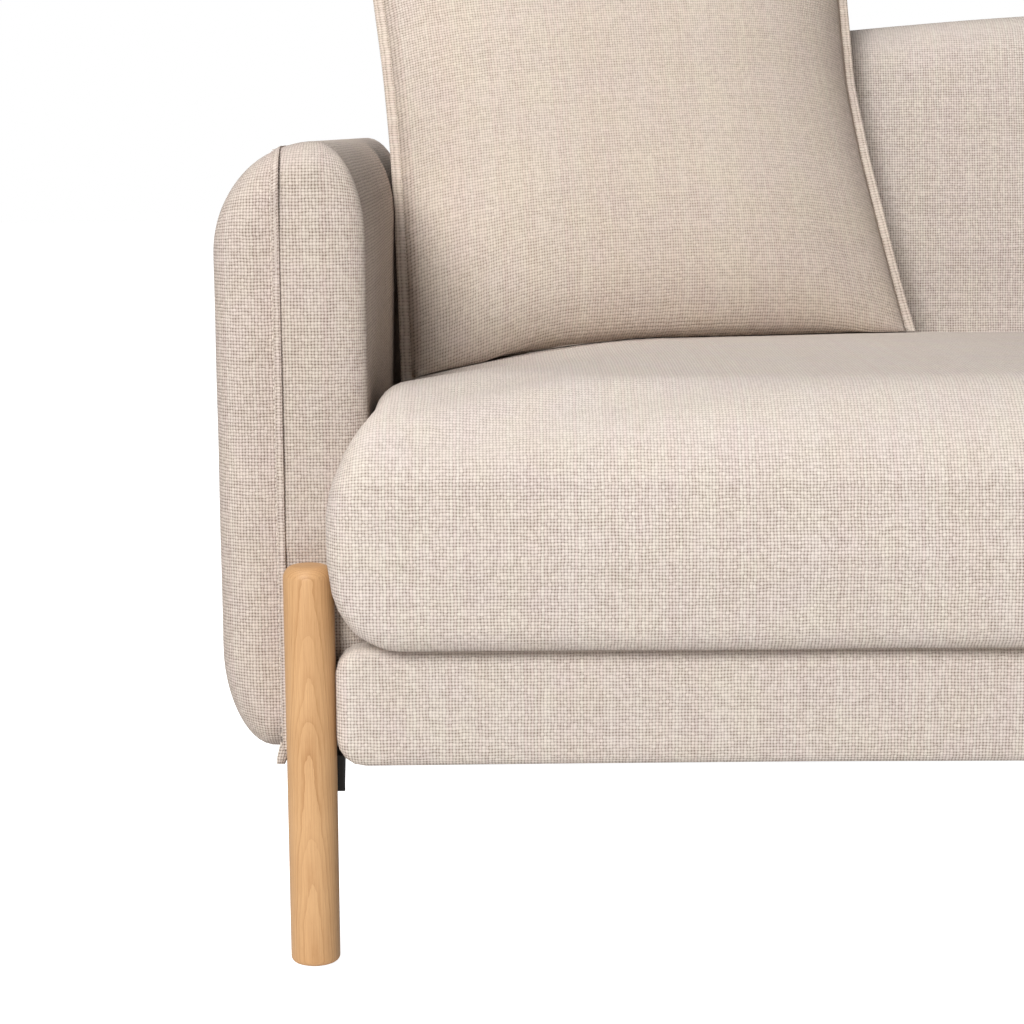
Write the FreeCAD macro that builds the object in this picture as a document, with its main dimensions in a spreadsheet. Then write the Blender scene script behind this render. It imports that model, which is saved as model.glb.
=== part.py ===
import FreeCAD, Part
import math
import os
import Sketcher

# Upholstered two-seat sofa on round wooden legs, in millimetres.
# +Z is up, the front faces -Y and the origin is the bottom centre of the bounding box.

os.makedirs("parts", exist_ok=True)
doc = FreeCAD.newDocument("sofa")
V = FreeCAD.Vector

# ---------------------------------------------------------------- driving sizes

NUMBERS = [
    ("leg_axis_x", 932.5), ("front_leg_y", 366), ("rear_leg_y", 365), ("leg_height", 293),
    ("leg_top_radius", 18.2), ("leg_foot_radius", 17.8), ("leg_crown", 9), ("foot_round", 4),
    ("glide_radius", 12), ("glide_recess", 2), ("glide_proud", 1),
    ("leg_bolt_low", 222), ("leg_bolt_high", 268), ("bolt_radius", 3.8), ("bolt_head_radius", 8),
    ("bolt_head_height", 5), ("insert_radius", 5.5), ("insert_length", 16), ("bolt_hole_radius", 4.5),
    ("arm_outer_x", 1000), ("arm_width", 110), ("arm_front_y", 347.5), ("arm_length", 694),
    ("arm_bottom", 150.5), ("arm_tall", 439.5), ("arm_low_round", 48), ("arm_inner_round", 26),
    ("arm_outer_crown", 73.5), ("arm_inner_crown", 36.5), ("arm_edge_round", 20),
    ("arm_seam", 47), ("seam_gap", 0.3), ("flange_wide", 7), ("flange_thick", 2),
    ("arm_pocket_deep", 36), ("arm_pocket_wall", 10.5), ("arm_pocket_floor", 14.5),
    ("arm_pocket_tall", 380), ("arm_bar", 24), ("arm_bar_deep", 45), ("arm_board", 3),
    ("base_bottom", 148.5), ("base_top", 236), ("base_front_y", 381), ("border_thick", 33),
    ("base_half", 914), ("border_round", 12), ("rear_border_y", 336), ("rear_border_thick", 30),
    ("seat_half", 886), ("rail_bottom", 166), ("rail_tall", 60), ("rail_thick", 24),
    ("seat_front_y", 346), ("seat_rear_y", 299), ("spring_rail_y", 150), ("beam_deep", 36),
    ("wire_radius", 2), ("spring_bar", 14), ("spring_bend", 11), ("spring_pitch", 166),
    ("deck_thick", 3.5), ("dust_thick", 1),
    ("back_y", 172.5), ("back_z", 238), ("back_tilt", 11), ("back_thick", 157), ("back_half", 887),
    ("back_side", 350), ("back_arch", 5030), ("back_corner", 70), ("back_round", 44),
    ("back_split", 100), ("back_pocket", 60), ("back_bar", 30), ("post_wide", 23.5),
    ("web_wide", 50), ("web_thick", 2),
    ("cushion_front", 411), ("cushion_rear", 162), ("cushion_bottom", 236.5),
    ("cushion_front_top", 421), ("cushion_rear_top", 398), ("cushion_half", 886),
    ("cushion_end_top", 378), ("cushion_slope_start", 690), ("cushion_slope_past", 20),
    ("cushion_nose", 85), ("cushion_round", 40), ("cushion_end_round", 37), ("cover_wall", 3),
    ("lobe_half", 917), ("lobe_front", 403), ("lobe_rear", 353), ("lobe_low", 244),
    ("lobe_high", 392), ("lobe_round", 60), ("lobe_edge", 22),
    ("zip_half", 740), ("zip_wide", 24), ("zip_thick", 1.4),
    ("pillow_half", 237), ("pillow_thick", 66), ("pillow_corner", 16), ("pillow_flange", 9),
]


class Size:
    """A length from the sheet: its number and the expression that binds a property to it."""

    def __init__(self, value, text):
        self.value = value
        self.text = text

    def __add__(self, other):
        other = sized(other)
        return Size(self.value + other.value, "(%s + %s)" % (self.text, other.text))

    def __sub__(self, other):
        other = sized(other)
        return Size(self.value - other.value, "(%s - %s)" % (self.text, other.text))

    def __mul__(self, other):
        other = sized(other)
        return Size(self.value * other.value, "(%s * %s)" % (self.text, other.text))

    def __truediv__(self, other):
        other = sized(other)
        return Size(self.value / other.value, "(%s / %s)" % (self.text, other.text))

    def __neg__(self):
        return Size(-self.value, "(0 - %s)" % self.text)

    def __radd__(self, other):
        return sized(other) + self

    def __rsub__(self, other):
        return sized(other) - self

    def __rmul__(self, other):
        return sized(other) * self

    def __rtruediv__(self, other):
        return sized(other) / self

    def cos(self):
        return Size(math.cos(math.radians(self.value)), "cos(%s)" % self.text)

    def sin(self):
        return Size(math.sin(math.radians(self.value)), "sin(%s)" % self.text)

    def tan(self):
        return Size(math.tan(math.radians(self.value)), "tan(%s)" % self.text)


def sized(number):
    """A plain number as a size, or the size itself."""
    if isinstance(number, Size):
        return number
    return Size(float(number), "(%.6f)" % number if number < 0 else "%.6f" % number)


sheet = doc.addObject("Spreadsheet::Sheet", "Sizes")
S = {}
for row, (alias, number) in enumerate(NUMBERS, start=1):
    sheet.set("A%d" % row, alias)
    sheet.set("B%d" % row, str(number))
    sheet.setAlias("B%d" % row, alias)
    S[alias] = Size(float(number), "Sizes." + alias)
doc.recompute()

# ---------------------------------------------------------------- small helpers


def bind(item, prop, size):
    """Tie one property to an expression of the sheet."""
    item.setExpression(prop, sized(size).text)


def place(item, x, y, z, rotation=None):
    """Give an object its placement, with the position bound to the sheet."""
    x, y, z = sized(x), sized(y), sized(z)
    item.Placement = FreeCAD.Placement(V(x.value, y.value, z.value), rotation or FreeCAD.Rotation())
    for axis, size in (("x", x), ("y", y), ("z", z)):
        bind(item, "Placement.Base." + axis, size)


def new_body(name):
    body = doc.addObject("PartDesign::Body", name)
    body.Label = name
    return body


def new_sketch(body, name, role, offset=None):
    """A sketch on one of the body's own origin planes, offset along the plane's normal."""
    sketch = body.newObject("Sketcher::SketchObject", name)
    plane = [f for f in body.Origin.OriginFeatures if f.Role == role][0]
    sketch.AttachmentSupport = [(plane, "")]
    sketch.MapMode = "FlatFace"
    if offset is not None:
        offset = sized(offset)
        sketch.AttachmentOffset = FreeCAD.Placement(V(0, 0, offset.value), FreeCAD.Rotation())
        bind(sketch, "AttachmentOffset.Base.z", offset)
    return sketch


def named(sketch, label, constraint, size):
    """Add a dimension to a sketch and bind it to the sheet."""
    index = sketch.addConstraint(constraint)
    sketch.renameConstraint(index, label)
    bind(sketch, "Constraints." + label, size)


def closed_chain(sketch, geometry, smooth=()):
    """Add curves end to start as a closed outline; joints listed in smooth are tangent."""
    first = sketch.GeometryCount
    for curve, _, _ in geometry:
        sketch.addGeometry(curve, False)
    count = len(geometry)
    for i in range(count):
        j = (i + 1) % count
        kind = "Tangent" if i in smooth else "Coincident"
        sketch.addConstraint(Sketcher.Constraint(kind, first + i, geometry[i][2], first + j, geometry[j][1]))
    return first


def line(x0, y0, x1, y1):
    return (Part.LineSegment(V(x0, y0, 0), V(x1, y1, 0)), 1, 2)


def arc(cx, cy, radius, start, end):
    """An arc drawn anticlockwise from start to end, in degrees, about the sketch normal."""
    circle = Part.Circle(V(cx, cy, 0), V(0, 0, 1), radius)
    return (Part.ArcOfCircle(circle, math.radians(start), math.radians(end)), 1, 2)


def rectangle(sketch, wide, tall):
    """A rectangle with its lower left corner on the sketch origin."""
    wide, tall = sized(wide), sized(tall)
    w, h = wide.value, tall.value
    closed_chain(sketch, [line(0, 0, w, 0), line(w, 0, w, h), line(w, h, 0, h), line(0, h, 0, 0)])
    sketch.addConstraint(Sketcher.Constraint("Horizontal", 0))
    sketch.addConstraint(Sketcher.Constraint("Vertical", 1))
    sketch.addConstraint(Sketcher.Constraint("Horizontal", 2))
    sketch.addConstraint(Sketcher.Constraint("Vertical", 3))
    sketch.addConstraint(Sketcher.Constraint("Coincident", 0, 1, -1, 1))
    named(sketch, "wide", Sketcher.Constraint("DistanceX", 0, 1, 0, 2, w), wide)
    named(sketch, "tall", Sketcher.Constraint("DistanceY", 1, 1, 1, 2, h), tall)


def bar(name, x, y, z, wide, deep, tall, rotation=None):
    """A sawn bar, board or strip: wide along X, deep along Y, tall along Z, from its low corner."""
    body = new_body(name)
    sketch = new_sketch(body, name + "_outline", "XY_Plane")
    rectangle(sketch, wide, deep)
    pad = body.newObject("PartDesign::Pad", name + "_pad")
    pad.Profile = sketch
    pad.Length = sized(tall).value
    bind(pad, "Length", tall)
    place(body, x, y, z, rotation)
    return body


def tool_box(name, x, y, z, wide, deep, tall, rotation=None):
    item = doc.addObject("Part::Box", name)
    for prop, size in (("Length", wide), ("Width", deep), ("Height", tall)):
        bind(item, prop, size)
    place(item, x, y, z, rotation)
    return item


AXES = {
    "x": FreeCAD.Rotation(V(0, 1, 0), 90),
    "y": FreeCAD.Rotation(V(1, 0, 0), -90),
    "z": FreeCAD.Rotation(),
}


def rod(name, radius, length, x, y, z, axis):
    """A cylinder that starts at a point and runs along a positive axis."""
    item = doc.addObject("Part::Cylinder", name)
    bind(item, "Radius", radius)
    bind(item, "Height", length)
    place(item, x, y, z, AXES[axis])
    return item


def boolean(kind, name, base, tool):
    item = doc.addObject("Part::" + kind, name)
    item.Base = base
    item.Tool = tool
    item.Label = name
    return item


def group(name, items):
    """Several separate solids as one node."""
    item = doc.addObject("Part::Compound", name)
    item.Links = items
    item.Label = name
    return item


def mirrored(name, source):
    """The same piece on the other side of the sofa."""
    item = doc.addObject("Part::Mirroring", name)
    item.Source = source
    item.Base = V(0, 0, 0)
    item.Normal = V(1, 0, 0)
    item.Label = name
    return item


NODES = []


def keep(item):
    NODES.append(item)
    return item


def keep_pair(part, item):
    """Keep a left-hand piece and its right-hand mirror image."""
    item.Label = "left_" + part
    NODES.append(item)
    NODES.append(mirrored("right_" + part, item))


# ---------------------------------------------------------------- legs


def leg(name, y, back):
    """A turned leg; back is +1 when the sofa's frame lies on its +Y side, -1 on its -Y side."""
    height = S["leg_height"] - S["glide_proud"]
    top, foot = S["leg_top_radius"], S["leg_foot_radius"]
    crown, round_ = S["leg_crown"], S["foot_round"]
    body = new_body(name)
    sketch = new_sketch(body, name + "_profile", "XZ_Plane")
    h, rt, rf, c, f = height.value, top.value, foot.value, crown.value, round_.value
    closed_chain(sketch, [
        line(0, 0, rf - f, 0), arc(rf - f, f, f, -90, 0), line(rf, f, rt, h - c),
        arc(rt - c, h - c, c, 0, 90), line(rt - c, h, 0, h), line(0, h, 0, 0),
    ])
    sketch.addConstraint(Sketcher.Constraint("Horizontal", 0))
    sketch.addConstraint(Sketcher.Constraint("Horizontal", 4))
    sketch.addConstraint(Sketcher.Constraint("Vertical", 5))
    sketch.addConstraint(Sketcher.Constraint("Coincident", 0, 1, -1, 1))
    named(sketch, "tall", Sketcher.Constraint("DistanceY", 5, 2, 5, 1, h), height)
    named(sketch, "foot_flat", Sketcher.Constraint("DistanceX", 0, 1, 0, 2, rf - f), foot - round_)
    named(sketch, "foot_out", Sketcher.Constraint("DistanceX", 0, 1, 1, 2, rf), foot)
    named(sketch, "foot_up", Sketcher.Constraint("DistanceY", 0, 1, 1, 2, f), round_)
    named(sketch, "foot_round", Sketcher.Constraint("Radius", 1, f), round_)
    named(sketch, "top_out", Sketcher.Constraint("DistanceX", 0, 1, 2, 2, rt), top)
    named(sketch, "top_up", Sketcher.Constraint("DistanceY", 0, 1, 2, 2, h - c), height - crown)
    named(sketch, "crown_flat", Sketcher.Constraint("DistanceX", 4, 2, 4, 1, rt - c), top - crown)
    named(sketch, "crown_round", Sketcher.Constraint("Radius", 3, c), crown)
    turned = body.newObject("PartDesign::Revolution", name + "_turned")
    turned.Profile = sketch
    turned.ReferenceAxis = (sketch, ["V_Axis"])
    turned.Angle = 360

    recess = new_sketch(body, name + "_recess", "XY_Plane")
    recess.addGeometry(Part.Circle(V(0, 0, 0), V(0, 0, 1), S["glide_radius"].value), False)
    recess.addConstraint(Sketcher.Constraint("Coincident", 0, 3, -1, 1))
    named(recess, "radius", Sketcher.Constraint("Radius", 0, S["glide_radius"].value), S["glide_radius"])
    cut = body.newObject("PartDesign::Pocket", name + "_recess_cut")
    cut.Profile = recess
    bind(cut, "Length", S["glide_recess"])
    cut.Reversed = True

    bores = new_sketch(body, name + "_bores", "XZ_Plane")
    for i, level in enumerate(("leg_bolt_low", "leg_bolt_high")):
        height_here = S[level] - S["glide_proud"]
        circle = Part.Circle(V(0, height_here.value, 0), V(0, 0, 1), S["insert_radius"].value)
        bores.addGeometry(circle, False)
        bores.addConstraint(Sketcher.Constraint("PointOnObject", i, 3, -2))
        named(bores, level, Sketcher.Constraint("DistanceY", -1, 1, i, 3, height_here.value), height_here)
        named(bores, level + "_bore", Sketcher.Constraint("Radius", i, S["insert_radius"].value),
              S["insert_radius"])
    drill = body.newObject("PartDesign::Pocket", name + "_bore_cut")
    drill.Profile = bores
    drill.Length = 30
    drill.Reversed = back < 0
    place(body, -S["leg_axis_x"], y, S["glide_proud"])
    return body


front_leg = leg("front_left_leg", -S["front_leg_y"], 1)
rear_leg = leg("rear_left_leg", S["rear_leg_y"], -1)
keep(front_leg)
keep(mirrored("front_right_leg", front_leg))
keep(rear_leg)
keep(mirrored("rear_right_leg", rear_leg))

glides, bolts, inserts = [], [], []
for side in (-1, 1):
    for end, leg_y in ((-1, S["front_leg_y"]), (1, S["rear_leg_y"])):
        tag = "%s%s" % ("f" if end < 0 else "r", "l" if side < 0 else "r")
        x = S["leg_axis_x"] * side
        glides.append(rod("glide_" + tag, S["glide_radius"] - 0.2, S["glide_recess"] + S["glide_proud"],
                          x, leg_y * end, 0, "z"))
        # each bolt runs from the inner side of the arm post, through the post, into the leg
        arm_end = S["arm_front_y"] if end < 0 else S["arm_length"] - S["arm_front_y"]
        head = arm_end - S["arm_pocket_wall"] - S["arm_bar_deep"] - 0.5
        tip = leg_y - 3
        for level in ("leg_bolt_low", "leg_bolt_high"):
            name = "%s_%s" % (tag, level)
            z = S[level]
            # along +Y the low end of a front bolt is its tip, of a rear bolt its head
            low = -tip if end < 0 else head
            shank = rod("shank_" + name, S["bolt_radius"], tip - head, x, low, z, "y")
            head_y = -head if end < 0 else head - S["bolt_head_height"]
            cap = rod("cap_" + name, S["bolt_head_radius"], S["bolt_head_height"], x, head_y, z, "y")
            bolts.append(boolean("Fuse", "bolt_" + name, shank, cap))
            low = -(leg_y - 1) if end < 0 else leg_y - 1 - S["insert_length"]
            sleeve = rod("sleeve_" + name, S["insert_radius"] - 0.1, S["insert_length"], x, low, z, "y")
            bore = rod("sleeve_bore_" + name, S["bolt_radius"] + 0.1, S["insert_length"] + 2,
                       x, low - 1, z, "y")
            inserts.append(boolean("Cut", "insert_" + name, sleeve, bore))
keep(group("leg_glides", glides))
keep(group("leg_bolts", bolts))
keep(group("leg_inserts", inserts))


# ---------------------------------------------------------------- steel leg brackets


def bracket(name, y_leg_side, towards):
    """A folded steel bracket under the arm: face plate on the leg, top plate, and a gusset."""
    low, wide, thick = 122, 36, 3.0
    deep, drop = 60.0, 24.0
    plate_tall = 26.5
    left = -S["leg_axis_x"] - 14
    back_face = tool_box(name + "_face", left, y_leg_side if towards > 0 else y_leg_side - thick,
                         low, wide, thick, plate_tall)
    top = tool_box(name + "_top", left, y_leg_side if towards > 0 else y_leg_side - deep,
                   low + plate_tall - thick, wide, deep, thick)
    plate = boolean("Fuse", name + "_plate", back_face, top)
    gusset = new_body(name + "_gusset")
    sketch = new_sketch(gusset, name + "_gusset_outline", "YZ_Plane")
    run = 15.0
    closed_chain(sketch, [line(0, 0, run * towards, drop), line(run * towards, drop, 0, drop),
                          line(0, drop, 0, 0)])
    sketch.addConstraint(Sketcher.Constraint("Coincident", 0, 1, -1, 1))
    sketch.addConstraint(Sketcher.Constraint("Horizontal", 1))
    sketch.addConstraint(Sketcher.Constraint("Vertical", 2))
    sketch.addConstraint(Sketcher.Constraint("DistanceY", 2, 2, 2, 1, drop))
    sketch.addConstraint(Sketcher.Constraint("Distance", 1, run))
    pad = gusset.newObject("PartDesign::Pad", name + "_gusset_pad")
    pad.Profile = sketch
    pad.Length = thick
    place(gusset, left + wide - thick, y_leg_side, low)
    return boolean("Fuse", name, plate, gusset)


front_bracket = bracket("bracket_front_left", -S["arm_front_y"] + 0.2, 1)
rear_bracket = bracket("bracket_rear_left", S["arm_length"] - S["arm_front_y"] - 0.2, -1)
screws = []
screw_holes = []
SCREW_HEAD, SCREW_SHANK, SCREW_LOW = 4.2, 2, 143.4
for side in (-1, 1):
    for end in (-1, 1):
        for step in (22, 46):
            edge = S["arm_front_y"] if end < 0 else S["arm_length"] - S["arm_front_y"]
            y = (edge - step) * end
            x = S["leg_axis_x"] * side
            tag = "%d_%d_%d" % (side + 1, end + 1, step)
            head = rod("screw_head_" + tag, SCREW_HEAD, 2, x, y, SCREW_LOW, "z")
            shank = rod("screw_shank_" + tag, SCREW_SHANK, 32, x, y, SCREW_LOW + 2, "z")
            screws.append(boolean("Fuse", "bracket_screw_" + tag, head, shank))
            screw_holes.append(rod("screw_hole_" + tag, SCREW_SHANK + 0.2, 34, x, y, SCREW_LOW + 0.6, "z"))
left_screw_holes = group("left_screw_holes", screw_holes[:4])
front_bracket_bored = boolean("Cut", "bracket_front_left_bored", front_bracket, left_screw_holes)
rear_bracket_bored = boolean("Cut", "bracket_rear_left_bored", rear_bracket, left_screw_holes)
keep(group("leg_brackets", [
    front_bracket_bored, rear_bracket_bored,
    mirrored("bracket_front_right", front_bracket_bored), mirrored("bracket_rear_right", rear_bracket_bored),
]))
keep(group("bracket_screws", screws))

# ---------------------------------------------------------------- arms

arm = new_body("arm_slab")
outline = new_sketch(arm, "arm_outline", "XZ_Plane")
width, tall = S["arm_width"], S["arm_tall"]
low_round, inner_round = S["arm_low_round"], S["arm_inner_round"]
outer_crown, inner_crown = S["arm_outer_crown"], S["arm_inner_crown"]
w, t = width.value, tall.value
a, b, c, d = low_round.value, inner_round.value, inner_crown.value, outer_crown.value
closed_chain(outline, [
    line(a, 0, w - b, 0), arc(w - b, b, b, -90, 0), line(w, b, w, t - c), arc(w - c, t - c, c, 0, 90),
    arc(d, t - d, d, 90, 180), line(0, t - d, 0, a), arc(a, a, a, 180, 270),
], smooth=(0, 1, 2, 3, 4, 5, 6))
outline.addConstraint(Sketcher.Constraint("Horizontal", 0))
outline.addConstraint(Sketcher.Constraint("Vertical", 2))
outline.addConstraint(Sketcher.Constraint("Vertical", 5))
outline.addConstraint(Sketcher.Constraint("PointOnObject", 0, 1, -1))
outline.addConstraint(Sketcher.Constraint("PointOnObject", 5, 1, -2))
named(outline, "low_round", Sketcher.Constraint("Radius", 6, a), low_round)
named(outline, "inner_round", Sketcher.Constraint("Radius", 1, b), inner_round)
named(outline, "inner_crown", Sketcher.Constraint("Radius", 3, c), inner_crown)
named(outline, "outer_crown", Sketcher.Constraint("Radius", 4, d), outer_crown)
named(outline, "tall", Sketcher.Constraint("DistanceY", -1, 1, 3, 2, t), tall)
arm_pad = arm.newObject("PartDesign::Pad", "arm_pad")
arm_pad.Profile = outline
bind(arm_pad, "Length", S["arm_length"])
arm_pad.Reversed = True
place(arm, -S["arm_outer_x"], -S["arm_front_y"], S["arm_bottom"])
doc.recompute()


def edges_on_plane(feature, axis, levels, skip=None):
    """Names of the edges of a feature that lie wholly at one of the given levels of an axis."""
    names = []
    for index, edge in enumerate(feature.Shape.Edges, start=1):
        box = edge.BoundBox
        low, high = (box.XMin, box.XMax) if axis == "x" else (box.YMin, box.YMax)
        flat = any(abs(low - level) < 1e-4 and abs(high - level) < 1e-4 for level in levels)
        if flat and not (skip and skip(edge)):
            names.append("Edge%d" % index)
    return names


def fillet(body, name, feature, edges, radius):
    item = body.newObject("PartDesign::Fillet", name)
    item.Base = (feature, edges)
    item.Radius = sized(radius).value
    bind(item, "Radius", radius)
    body.Tip = item
    return item


fillet(arm, "arm_edges", arm_pad, edges_on_plane(arm_pad, "y", (0, S["arm_length"].value)), S["arm_edge_round"])
doc.recompute()

SEAM_X = -S["arm_outer_x"] + S["arm_seam"]
arm_rear_y = S["arm_length"] - S["arm_front_y"]
outer_side = tool_box("arm_outer_side", -S["arm_outer_x"] - 20, -S["arm_front_y"] - 20, 100,
                      S["arm_seam"] + 20 - S["seam_gap"], S["arm_length"] + 40, 600)
inner_side = tool_box("arm_inner_side", SEAM_X + S["seam_gap"], -S["arm_front_y"] - 20, 100,
                      S["arm_width"], S["arm_length"] + 40, 600)
keep_pair("arm_outer_pad", boolean("Common", "left_arm_outer_pad", arm, outer_side))

pocket = tool_box("arm_pocket", SEAM_X, -S["arm_front_y"] + S["arm_pocket_wall"],
                  S["arm_bottom"] + S["arm_pocket_floor"], S["arm_pocket_deep"],
                  S["arm_length"] - 2 * S["arm_pocket_wall"], S["arm_pocket_tall"])
arm_hollows = [pocket]
for end, leg_y in ((-1, S["front_leg_y"]), (1, S["rear_leg_y"])):
    for level in ("leg_bolt_low", "leg_bolt_high"):
        low = -S["arm_front_y"] - 5 if end < 0 else arm_rear_y - 20
        arm_hollows.append(rod("arm_bolt_way_%d_%s" % (end + 1, level), S["bolt_hole_radius"], 25,
                               -S["leg_axis_x"], low, S[level], "y"))
SIDE_BOLT_Y = (-220, 200)
SIDE_BOLT_Z = 188
for y in SIDE_BOLT_Y:
    arm_hollows.append(rod("arm_side_way_%d" % (y + 300), S["bolt_hole_radius"], 60, SEAM_X + 20, y,
                           SIDE_BOLT_Z, "x"))
for index in range(4):
    arm_hollows.append(screw_holes[index])
inner_raw = boolean("Common", "arm_inner_raw", arm, inner_side)
keep_pair("arm_inner_pad", boolean("Cut", "left_arm_inner_pad", inner_raw, group("arm_hollows", arm_hollows)))

# the flat flange of the seam, raised on the front, top and rear of the arm
raised = doc.addObject("Part::Offset", "arm_raised")
raised.Source = arm
raised.Mode = 0
raised.Join = 0
bind(raised, "Value", S["flange_thick"])
doc.recompute()
flange_skin = boolean("Cut", "flange_skin", raised, arm)
flange_band = tool_box("flange_band", SEAM_X - S["flange_wide"], -S["arm_front_y"] - 20, S["arm_bottom"] + 0.5,
                       S["flange_wide"], S["arm_length"] + 40, 600)
keep_pair("arm_flange", boolean("Common", "left_arm_flange", flange_skin, flange_band))

# timber frame of the arm, in the pocket of the inner pad
BAR_X = -S["leg_axis_x"] - S["arm_bar"] / 2
post_y = -S["arm_front_y"] + S["arm_pocket_wall"] + 0.5
post_z = S["arm_bottom"] + S["arm_pocket_floor"] + 0.5
post_tall = S["arm_pocket_tall"] - 1
rear_post_y = arm_rear_y - S["arm_pocket_wall"] - 0.5 - S["arm_bar_deep"]
span = rear_post_y - post_y - S["arm_bar_deep"]


def bored(part, item, tools):
    """Keep a left piece and its mirror after drilling it."""
    keep_pair(part, boolean("Cut", "left_" + part, item, group(part + "_bores", tools)))


front_bores, rear_bores, rail_bores = [], [], []
for level in ("leg_bolt_low", "leg_bolt_high"):
    front_bores.append(rod("front_post_bore_" + level, S["bolt_hole_radius"], 60, -S["leg_axis_x"],
                           post_y - 5, S[level], "y"))
    rear_bores.append(rod("rear_post_bore_" + level, S["bolt_hole_radius"], 60, -S["leg_axis_x"],
                          rear_post_y - 5, S[level], "y"))
front_bores += [screw_holes[0], screw_holes[1]]
rear_bores += [screw_holes[2], screw_holes[3]]
for y in SIDE_BOLT_Y:
    rail_bores.append(rod("rail_bore_%d" % (y + 300), S["bolt_hole_radius"], 60, BAR_X - 5, y, SIDE_BOLT_Z, "x"))
    rail_bores.append(rod("rail_sink_%d" % (y + 300), 9, 13, BAR_X - 5, y, SIDE_BOLT_Z, "x"))
bored("arm_front_post", bar("arm_front_post", BAR_X, post_y, post_z, S["arm_bar"], S["arm_bar_deep"], post_tall),
      front_bores)
bored("arm_rear_post", bar("arm_rear_post", BAR_X, rear_post_y, post_z, S["arm_bar"], S["arm_bar_deep"], post_tall),
      rear_bores)
bored("arm_bottom_rail", bar("arm_bottom_rail", BAR_X, post_y + S["arm_bar_deep"], post_z, S["arm_bar"], span,
                             S["arm_bar_deep"]), rail_bores)
keep_pair("arm_top_rail", bar("left_arm_top_rail", BAR_X, post_y + S["arm_bar_deep"],
                              post_z + post_tall - S["arm_bar_deep"], S["arm_bar"], span, S["arm_bar_deep"]))
board_y = post_y + 2
board_long = S["arm_length"] - 2 * S["arm_pocket_wall"] - 5
outer_board = bar("outer_board", BAR_X - S["arm_board"] - 0.1, board_y, post_z + 1, S["arm_board"], board_long,
                  post_tall - 2)
keep_pair("arm_outer_board", outer_board)
inner_board = bar("inner_board", BAR_X + S["arm_bar"] + 0.1, board_y, post_z + 1, S["arm_board"], board_long,
                  post_tall - 2)
board_ways = [rod("board_way_%d" % (y + 300), S["bolt_hole_radius"], 20, BAR_X + S["arm_bar"] - 5, y,
                  SIDE_BOLT_Z, "x") for y in SIDE_BOLT_Y]
bored("arm_inner_board", inner_board, board_ways)

# ---------------------------------------------------------------- seat base


def border(name, half, y, thick, low, high, front):
    """A padded border strip; its exposed long edges and ends are rounded."""
    body = bar(name, -half, y, low, half * 2, thick, high - low)
    doc.recompute()
    pad = body.Tip
    face = 0 if front else thick.value
    fillet(body, name + "_edges", pad, edges_on_plane(pad, "y", (face,)), S["border_round"])
    return body


keep(border("base_front_pad", S["base_half"], -S["base_front_y"], S["border_thick"] - 0.5, S["base_bottom"],
            S["base_top"] - 0.5, True))
keep(border("base_rear_pad", S["seat_half"] + 1, S["rear_border_y"] - S["rear_border_thick"],
            S["rear_border_thick"], S["base_bottom"], S["base_top"] - 0.5, False))

rail_inner = S["seat_half"] - S["rail_thick"]
side_bores = []
for y in SIDE_BOLT_Y:
    side_bores.append(rod("seat_side_bore_%d" % (y + 300), S["bolt_hole_radius"], 60, -S["seat_half"] - 5, y,
                          SIDE_BOLT_Z, "x"))
POST_BOLTS = ((238, 186), (243, 212))
for y, z in POST_BOLTS:
    side_bores.append(rod("seat_post_bore_%d" % z, S["bolt_hole_radius"], 60, -S["seat_half"] - 5, y, z, "x"))
bored("seat_side_rail", bar("seat_side_rail", -S["seat_half"], -S["seat_front_y"], S["rail_bottom"],
                            S["rail_thick"], S["seat_front_y"] + S["seat_rear_y"], S["rail_tall"]), side_bores)
keep(bar("seat_front_rail", -rail_inner, -S["seat_front_y"], S["rail_bottom"], rail_inner * 2, S["beam_deep"],
         S["rail_tall"]))
keep(bar("seat_rear_rail", -rail_inner, S["seat_rear_y"] - S["rail_thick"], S["rail_bottom"], rail_inner * 2,
         S["rail_thick"], S["rail_tall"]))
keep(bar("seat_spring_rail", -rail_inner, S["spring_rail_y"], S["rail_bottom"], rail_inner * 2, S["rail_thick"],
         S["rail_tall"]))

blocks = []
BLOCK = 55.0
for sx in (-1, 1):
    for sy in (-1, 1):
        name = "block_%d_%d" % (sx + 1, sy + 1)
        body = new_body(name)
        sketch = new_sketch(body, name + "_outline", "XY_Plane")
        closed_chain(sketch, [line(0, 0, -BLOCK * sx, 0), line(-BLOCK * sx, 0, 0, -BLOCK * sy),
                              line(0, -BLOCK * sy, 0, 0)])
        sketch.addConstraint(Sketcher.Constraint("Coincident", 0, 1, -1, 1))
        sketch.addConstraint(Sketcher.Constraint("Horizontal", 0))
        sketch.addConstraint(Sketcher.Constraint("Vertical", 2))
        sketch.addConstraint(Sketcher.Constraint("Distance", 0, BLOCK))
        sketch.addConstraint(Sketcher.Constraint("Distance", 2, BLOCK))
        pad = body.newObject("PartDesign::Pad", name + "_pad")
        pad.Profile = sketch
        bind(pad, "Length", S["rail_tall"] - 12)
        y = -S["seat_front_y"] + S["beam_deep"] + 0.1 if sy < 0 else S["spring_rail_y"] - 0.1
        place(body, (rail_inner - 0.1) * sx, y, S["rail_bottom"] + 4)
        blocks.append(body)
keep(group("seat_corner_blocks", blocks))

# sinuous wire springs between the front beam and the spring rail, held by steel clips
SPRINGS = 10
ROWS = 22
rail_top = S["rail_bottom"] + S["rail_tall"]
wire_z = rail_top.value + 3
first_row = -(S["seat_front_y"] - S["beam_deep"] / 2).value
pitch = ((S["spring_rail_y"] + S["rail_thick"] / 2).value - first_row) / (ROWS - 1)
half_bar = S["spring_bar"].value


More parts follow.
